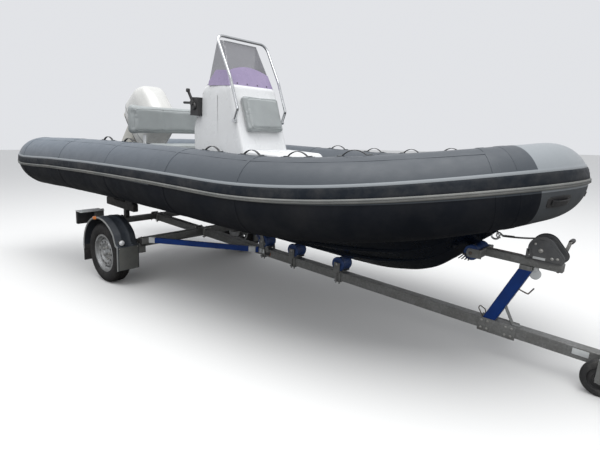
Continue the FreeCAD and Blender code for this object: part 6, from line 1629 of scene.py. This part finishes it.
def jockey_ring():
    """Closed ring turned about the wheel's pin."""
    turn = np.linspace(0, tau, 72, endpoint=False)[None]
    points = np.stack([JOCKEY[0] + roll[:, 1:] * np.sin(turn), JOCKEY[1] + roll[:, :1] + 0 * turn,
                       JOCKEY[2] + roll[:, 1:] * np.cos(turn)], -1)
    return grid(points, around=True, along=True)


hub_profile = ((-24, 7), (-24, 26), (-27, 30), (-27, 36), (-18, 40), (-14, 60), (-20, 65.5), (20, 65.5),
               (14, 60), (18, 40), (27, 36), (27, 30), (24, 26), (24, 7))
piece("jockey_rubber", [jockey_ring()], "black_rubber", "jockey_wheel", "jockey_wheel", mend=True)
piece("jockey_hub", [turned(hub_profile, JOCKEY, (0, 1, 0), 56)], "black_plastic", "jockey_wheel",
      mend=True)
ring_hub = turned(((-30.4, 13), (-30.4, 25), (-28, 27), (-26.5, 27), (-26.5, 13)), JOCKEY, (0, 1, 0), 40)
piece("jockey_hub_ring", [ring_hub], "rim_silver", "jockey_wheel", mend=True)
clamp_bar = bar(eased([(4002, -136, 520), (3990, -168, 520), (3940, -176, 524)], 4, 16), 5.5, 12, (0, 0, 1))
clamp_ball = turned(((0, 4), (3, 10), (12, 12), (21, 9), (24, 2)), (3946, -175, 523.5),
                    (-1, -0.12, 0.07), 20)
piece("jockey_clamp_bar", [clamp_bar], "zinc_bolt", mend=True, slot="galvanised")
piece("jockey_clamp_ball", [clamp_ball], "black_plastic", mend=True)
print("trailer pieces:", len(PIECES))

# %% [markdown]
# Outboard motor. It hangs tilted, so its shapes are written upright in millimetres from
# the tilt axis, with x forward and z along the steering axis, and then turned into place.
# The cowl is a cap whose sections swell and close over its top in one smooth curve.

# %% Outboard
PIVOT = np.array(JOINTS["outboard_tilt"]["pos_m"], float) * [1, 0, 1]
SHAFT_UP = np.array(JOINTS["outboard_steer"]["axis"], float)
SHAFT_UP = SHAFT_UP * np.sign(SHAFT_UP[2])
OUTBOARD = np.stack([np.cross(PORT, SHAFT_UP), PORT, SHAFT_UP])


def hung(name, patches, finish, **settings):
    """Piece that steers, of patches drawn upright in millimetres, hung in its place."""
    patches = [(points / 1000 @ OUTBOARD + PIVOT, faces) for points, faces in patches]
    piece(name, patches, finish, "outboard_steering", level=False, mend=True, **settings)


softened("outboard_bracket", 6)
softened("outboard_swivel", 6)
softened("outboard_leg", 8)
softened("outboard_gearcase", 5)
# Share of its height, front end, rear end, share of its half width.
COWL_SECTIONS = np.array([
    (0.00, 108, -408, 0.84), (0.26, 152, -446, 1.00), (0.66, 132, -440, 0.97),
    (0.88, 78, -396, 0.80), (0.97, 30, -338, 0.60), (1.00, -30, -270, 0.36)])
COWL_LOW, COWL_HIGH, COWL_HALF = 100.0, 612.0, 188.0


def cowl_ring(share, swell=0.0):
    """Section of the cowl at shares of its height: a rounded oblong between its ends."""
    front, rear, half = (column[:, None] for column in fair(COWL_SECTIONS, share).T)
    outline = round_rect(1.0, 1.0, 0.62, 96)[::-1]
    middle, length = (front + rear) / 2, front - rear + 2 * swell
    return np.stack([middle + outline[None, :, 0] * length,
                     outline[None, :, 1] * (2 * half * COWL_HALF + 2 * swell),
                     np.broadcast_to(COWL_LOW + share[:, None] * (COWL_HIGH - COWL_LOW),
                                     (len(share), 96))], axis=-1)


rising = np.concatenate([np.linspace(0, 0.86, 30), 0.86 + 0.139 * np.sin(np.linspace(0.1, pi / 2, 18))])
shell = cowl_ring(rising)
crown = shell[-1].mean(axis=0)
cap = np.stack([crown + (shell[-1] - crown) * scale + (0, 0, up)
                for scale, up in ((0.8, 3), (0.5, 5), (0.2, 6))])
hung("cowl_shell", [grid(np.concatenate([shell, cap]), around=True, caps=True)], "cowl_white",
     replaces="outboard_cowl", crease=50)
seal = cowl_ring(np.array([0.012, 0.016, 0.034, 0.038]), 2.5)
seal[[0, 3]] = cowl_ring(np.array([0.012, 0.038]), -2.0)
belt = cowl_ring(np.array([0.235, 0.24, 0.262, 0.267]), 2.0)
belt[[0, 3]] = cowl_ring(np.array([0.235, 0.267]), -2.0)
hung("cowl_seal", [grid(seal, around=True)], "black_rubber")
hung("cowl_moulding", [grid(belt, around=True)], "outboard_metal")
vents = [box((-449, side * 70 - 34, 330 + 18 * k), (-425, side * 70 + 34, 338 + 18 * k), 2)
         for k in range(4) for side in (-1, 1)]
cowl_latch = [box((144, -24, 128), (164, 24, 176), 6), box((150, -13, 140), (170, 13, 188), 4)]
hung("cowl_vents", vents, "black_plastic")
hung("cowl_latch", cowl_latch, "black_plastic")
print("cowl rings:", len(rising))

# %% Anode, water inlets and propeller
anode = moved(rounded((86, 9, 46), 4, (-250, 0, -592)))
trim_tab = bolt((-205, 0, -574), (0, 0, -1), 9)
water_inlets = [box((-128 + 15 * k, side * 33 - 1.5, -668), (-120 + 15 * k, side * 33 + 1.5, -630), 1)
                for k in range(4) for side in (-1, 1)]
hung("outboard_anode", [anode] + trim_tab, "zinc_bolt", slot="propeller_metal")
hung("water_inlets", water_inlets, "black_plastic")
softened("propeller", 1.2, steps=2)
print("outboard pieces:", len(PIECES))

# %% [markdown]
# The console's parts. Its shell is one side view carried across, with a hood that is
# narrower at the top. The tinted screen stands on a lilac band whose top edge is an
# arch, so both are curved sheets with one shared line. Dials and switches are on the dash.

# %% Console shell
CONSOLE_OUTLINE = ((560, 930), (520, 1500), (585, 1690), (669, 1873), (859, 2013), (1030, 1886),
                   (1214, 1386), (1382, 930))
CONSOLE_HALF, HOOD_FROM, HOOD_NARROWER, CONSOLE_EDGE = 275.0, 1860.0, 48.0, 30.0
side_view = eased(np.array(CONSOLE_OUTLINE[:1] + CONSOLE_OUTLINE[1:] + CONSOLE_OUTLINE[:1]), 9, 42)
side_view = np.concatenate([[CONSOLE_OUTLINE[0]], side_view[2:-2], [CONSOLE_OUTLINE[0]]])[:-1]


def console_shell():
    """Outline carried across; its half width shrinks in the hood, its side edges are round."""
    way = unit(np.roll(side_view, -1, 0) - np.roll(side_view, 1, 0))
    inward = np.stack([way[:, 1], -way[:, 0]], 1)
    inward = inward * np.sign((inward * (side_view.mean(0) - side_view)).sum(1).mean())

    def half_at(height):
        """Half width of the console, less in the hood."""
        return CONSOLE_HALF - HOOD_NARROWER * np.clip((height - HOOD_FROM) / 153, 0, 1) ** 1.5

    half = half_at(side_view[:, 1])
    middle = np.array((880.0, 1400.0))
    rows = []
    for side, bends in ((-1, np.radians((90, 67, 45, 22, 0))), (1, np.radians((0, 22, 45, 67, 90)))):
        for bend in bends:
            spot = side_view + inward * CONSOLE_EDGE * (1 - cos(bend))
            spot[:, 1] = np.where(side_view[:, 1] < DECK + 1, DECK, np.maximum(spot[:, 1], DECK))
            across = side * (half - CONSOLE_EDGE + CONSOLE_EDGE * sin(bend))
            rows.append(np.stack([spot[:, 0], across, spot[:, 1]], 1))
        face = [middle + (rows[-1 if side > 0 else 0][:, [0, 2]] - middle) * share
                for share in (0.94, 0.85, 0.7, 0.55, 0.4, 0.25, 0.12)]
        face = [np.stack([spot[:, 0], side * half_at(spot[:, 1]), spot[:, 1]], 1) for spot in face]
        rows = rows + face if side > 0 else face[::-1] + rows
    return grid(np.stack(rows), around=True, caps=True)


piece("console_form", [console_shell()], "gelcoat_white", replaces="console", mend=True, crease=60)

# %% Screen and band
SCREEN_LOW, SCREEN_HIGH, BAND_CROWN, BAND_DROP, SCREEN_WALL = 1890.0, 2267.0, 2063.0, 46.0, 5.0
# Seen from above: along and across at the foot, along and across at the head.
SCREEN_PLAN = ((742, -276, 792, -228), (1012, -264, 838, -188), (1012, 264, 838, 188), (742, 276, 792, 228))
plan = eased(np.array(SCREEN_PLAN, float), 10, 46)
band_top = np.minimum(BAND_CROWN - BAND_DROP * np.clip(np.abs(plan[:, 1]) / 250, 0, 1) ** 2,
                      1925 + 1.2 * (plan[:, 0] - 742))


def sheet_between(low, high, wall, steps=8, outwards=0.0):
    """Curved sheet between two heights along the screen's plan, leaning as it rises."""
    def at(height, inset):
        """The plan at a height, moved inwards."""
        share = ((height - SCREEN_LOW) / (SCREEN_HIGH - SCREEN_LOW))[:, None]
        spot = plan[:, :2] + (plan[:, 2:] - plan[:, :2]) * share
        way = unit(np.gradient(spot, axis=0))
        spot = spot + np.stack([-way[:, 1], way[:, 0]], 1) * (inset - outwards)
        return np.concatenate([spot, height[:, None]], 1)

    shares = np.linspace(0, 1, steps)
    outer = [at(low + (high - low) * share, 0.0) for share in shares]
    inner = [at(low + (high - low) * share, wall) for share in shares[::-1]]
    return grid(np.stack(outer + inner, axis=1), around=True, caps=True)


flat = np.ones(len(plan))
piece("screen_sheet", [sheet_between(band_top - 22, SCREEN_HIGH * flat, SCREEN_WALL)], "tinted_screen",
      replaces="screen", mend=True)
piece("band_sheet", [sheet_between(SCREEN_LOW * flat - 4, band_top, SCREEN_WALL, outwards=5.2)],
      "band_lilac", replaces="screen_band", mend=True)


def dial(place, axis, radius):
    """Round gauge: a bezel, a dark face and a needle."""
    bezel = turned(((-2, radius), (5, radius), (7, radius - 2), (7, radius - 5), (4, radius - 6)),
                   place, axis, 36)
    face = turned(((3.4, radius - 5.5), (3.6, 2)), place, axis, 36)
    return bezel, face


DASH_LEAN, BAND_LEAN = radians(24.65), radians(23.6)
dash_out = unit(np.array((-cos(DASH_LEAN), 0, sin(DASH_LEAN))))
dash_up = np.cross((0, 1, 0), dash_out)
dash_up = dash_up * np.sign(dash_up[2])
dash_middle = np.array((627.0, 0, 1781.5))
dials = [dial(dash_middle + dash_up * 66 + np.array((0, y, 0)) + dash_out * 1.5, dash_out, radius)
         for y, radius in ((-178, 43), (-66, 30), (66, 30), (178, 43))]
piece("dial_bezels", [bezel for bezel, _ in dials], "stainless", crease=28)
piece("dial_faces", [face for _, face in dials], "gauge_dark", slot="black_plastic", crease=28)
dash_axes = np.stack([dash_up, (0, 1, 0), dash_out])


def on_dash(up, across, size, rise=3.0, radius=2.0):
    """Rounded block on the dash, given up its slope and across it."""
    place = dash_middle + dash_up * up + np.array((0, across, 0)) + dash_out * rise
    return moved(rounded(size, radius, (0, 0, 0)), dash_axes, place)


switches = [on_dash(-92, y, (34, 20, 10), 4) for y in (-205, -177, -149, 149, 177, 205)]
panels = [on_dash(-92, y, (48, 96, 3), 1) for y in (-177, 177)]
piece("dash_panels", panels, "black_plastic")
piece("dash_switches", switches, "gauge_dark", slot="black_plastic")

# %% Console trim
screw_way = (cos(BAND_LEAN), 0, sin(BAND_LEAN))
band_screws = bolts([np.array((1006.5, y, 1914)) for y in (-178, -62, 62, 178)], screw_way, 5.5)
piece("band_screws", band_screws, "black_plastic")
print("console trim:", len(dials), "dials")

# %% [markdown]
# Steering wheel. Three spokes run from a small hub to a padded rim with shallow finger
# grips. Everything is turned about the wheel's own shaft.

# %% Steering wheel
HELM_OUT, HELM_RADIUS, HELM_GRIP = 95.0, 165.0, 14.0
helm_middle = dash_middle + dash_out * HELM_OUT
turns = np.linspace(0, tau, 120, endpoint=False)
rim_line = (helm_middle + HELM_RADIUS * (np.cos(turns)[:, None] * dash_up + np.sin(turns)[:,
                                                                                          None]
                                         * np.array((0, 1, 0))))
rim_bar = bar(rim_line, HELM_GRIP + 0.5 * np.cos(turns * 24), 20, tuple(dash_out), closed=True)
piece("helm_rim", [rim_bar], "black_rubber", "steering_wheel", "steering_wheel", crease=60)
spokes = []
for angle in np.radians((90, 210, 330)):
    way = cos(angle) * np.cross(dash_out, dash_up) * -1 + sin(angle) * dash_up
    run = [helm_middle + way * reach - dash_out * drop for reach, drop in ((18, 20), (50, 18), (110, 6),
                                                                           (160, 0))]
    spokes.append(strap(eased(np.array(run), 8, 60), 26, 6, np.cross(way, dash_out)))
hub = turned(((-HELM_OUT + 2, 13), (-30, 14), (-28, 30), (-10, 33), (-4, 27), (-1, 14)), helm_middle,
             dash_out, 40)
piece("helm_spokes", spokes + [hub], "outboard_metal", "steering_wheel", crease=40)

# %% Throttle lever
lever_foot = np.array((600.0, -330, 1702))
lever_way = unit(np.array((-0.45, 0, 0.89)))
lever_run = np.array([lever_foot, lever_foot + lever_way * 60, lever_foot + lever_way * 140 + (0, -10, 0)])
boss = turned(((0, 34), (6, 34), (10, 28), (14, 26)), (600, -325, 1702), (0, -1, 0), 36)
lever_knob = rounded((40, 26, 34), 10, tuple(lever_foot + lever_way * 152 + (0, -12, 0)))
piece("throttle_boss", [boss, strap(lever_run, 26, 12, (0.89, 0, 0.45)), lever_knob], "black_plastic",
      crease=40)

# %% [markdown]
# Non-slip mats lie on the deck beside the console and behind it.

# %% Deck mats
DECK_TOP = 930.0
mats = [box((560, 300, DECK_TOP), (1640, 455, DECK_TOP + 5), 2),
        box((-180, 420, DECK_TOP), (540, 455, DECK_TOP + 5), 2)]
centre_mats = [box((250, -270, DECK_TOP), (545, 270, DECK_TOP + 5), 2)]
piece("deck_mats", both_sides(mats) + centre_mats, "deck_grey")
print("deck pieces:", len(PIECES))

# %% [markdown]
# A pale floor and the light of an overcast day: one broad soft lamp overhead, a weaker
# one from the camera's side, and a white world. The floor looks pale to the camera, but
# throws back less light than it shows, so the boat's belly stays dark.

# %% Floor, light and world
FLOOR_SHOWN = (0.74, 0.74, 0.73)
FLOOR_BOUNCE = (0.15, 0.148, 0.142)
SKY_COLOUR, SKY_STRENGTH = (0.95, 0.965, 1.0, 1), 0.80


def camera_only(name, shown, bounced):
    """Material of one colour to the camera, another to all other light."""
    f = Finish(name)
    path = f.add("ShaderNodeLightPath").outputs
    seen = f.math("MAXIMUM", path["Is Camera Ray"], path["Is Transmission Ray"])
    f.set(Base_Color=f.mix(seen, bounced, shown), Roughness=0.9)
    return f.material


floor_mesh = bpy.data.meshes.new("floor")
floor_mesh.from_pydata([(-60, -60, 0), (60, -60, 0), (60, 60, 0), (-60, 60, 0)], [], [(0, 1, 2, 3)])
floor_mesh.materials.append(camera_only("floor_pale", FLOOR_SHOWN, FLOOR_BOUNCE))
floor = placed("floor", floor_mesh)


def lamp(name, place, target, size, power):
    """Square area lamp that looks at a point."""
    data = bpy.data.lights.new(name, "AREA")
    data.shape = "SQUARE"
    data.size = size
    data.energy = power
    made = placed(name, data)
    way = Vector(target) - Vector(place)
    made.matrix_world = Matrix.Translation(place) @ way.to_track_quat("-Z", "Y").to_matrix().to_4x4()


lamp("overhead", (1.0, -1.5, 9.0), (0, 0, 0.6), 9.0, 880.0)
lamp("from_the_camera", (6.5, -7.5, 4.5), (0, 0, 0.9), 5.0, 170.0)

world = bpy.data.worlds.new("overcast")
world.use_nodes = True
sky = world.node_tree.nodes["Background"]
sky.inputs["Color"].default_value = SKY_COLOUR
sky.inputs["Strength"].default_value = SKY_STRENGTH
bpy.context.scene.world = world
bpy.context.scene.view_settings.view_transform = "Standard"
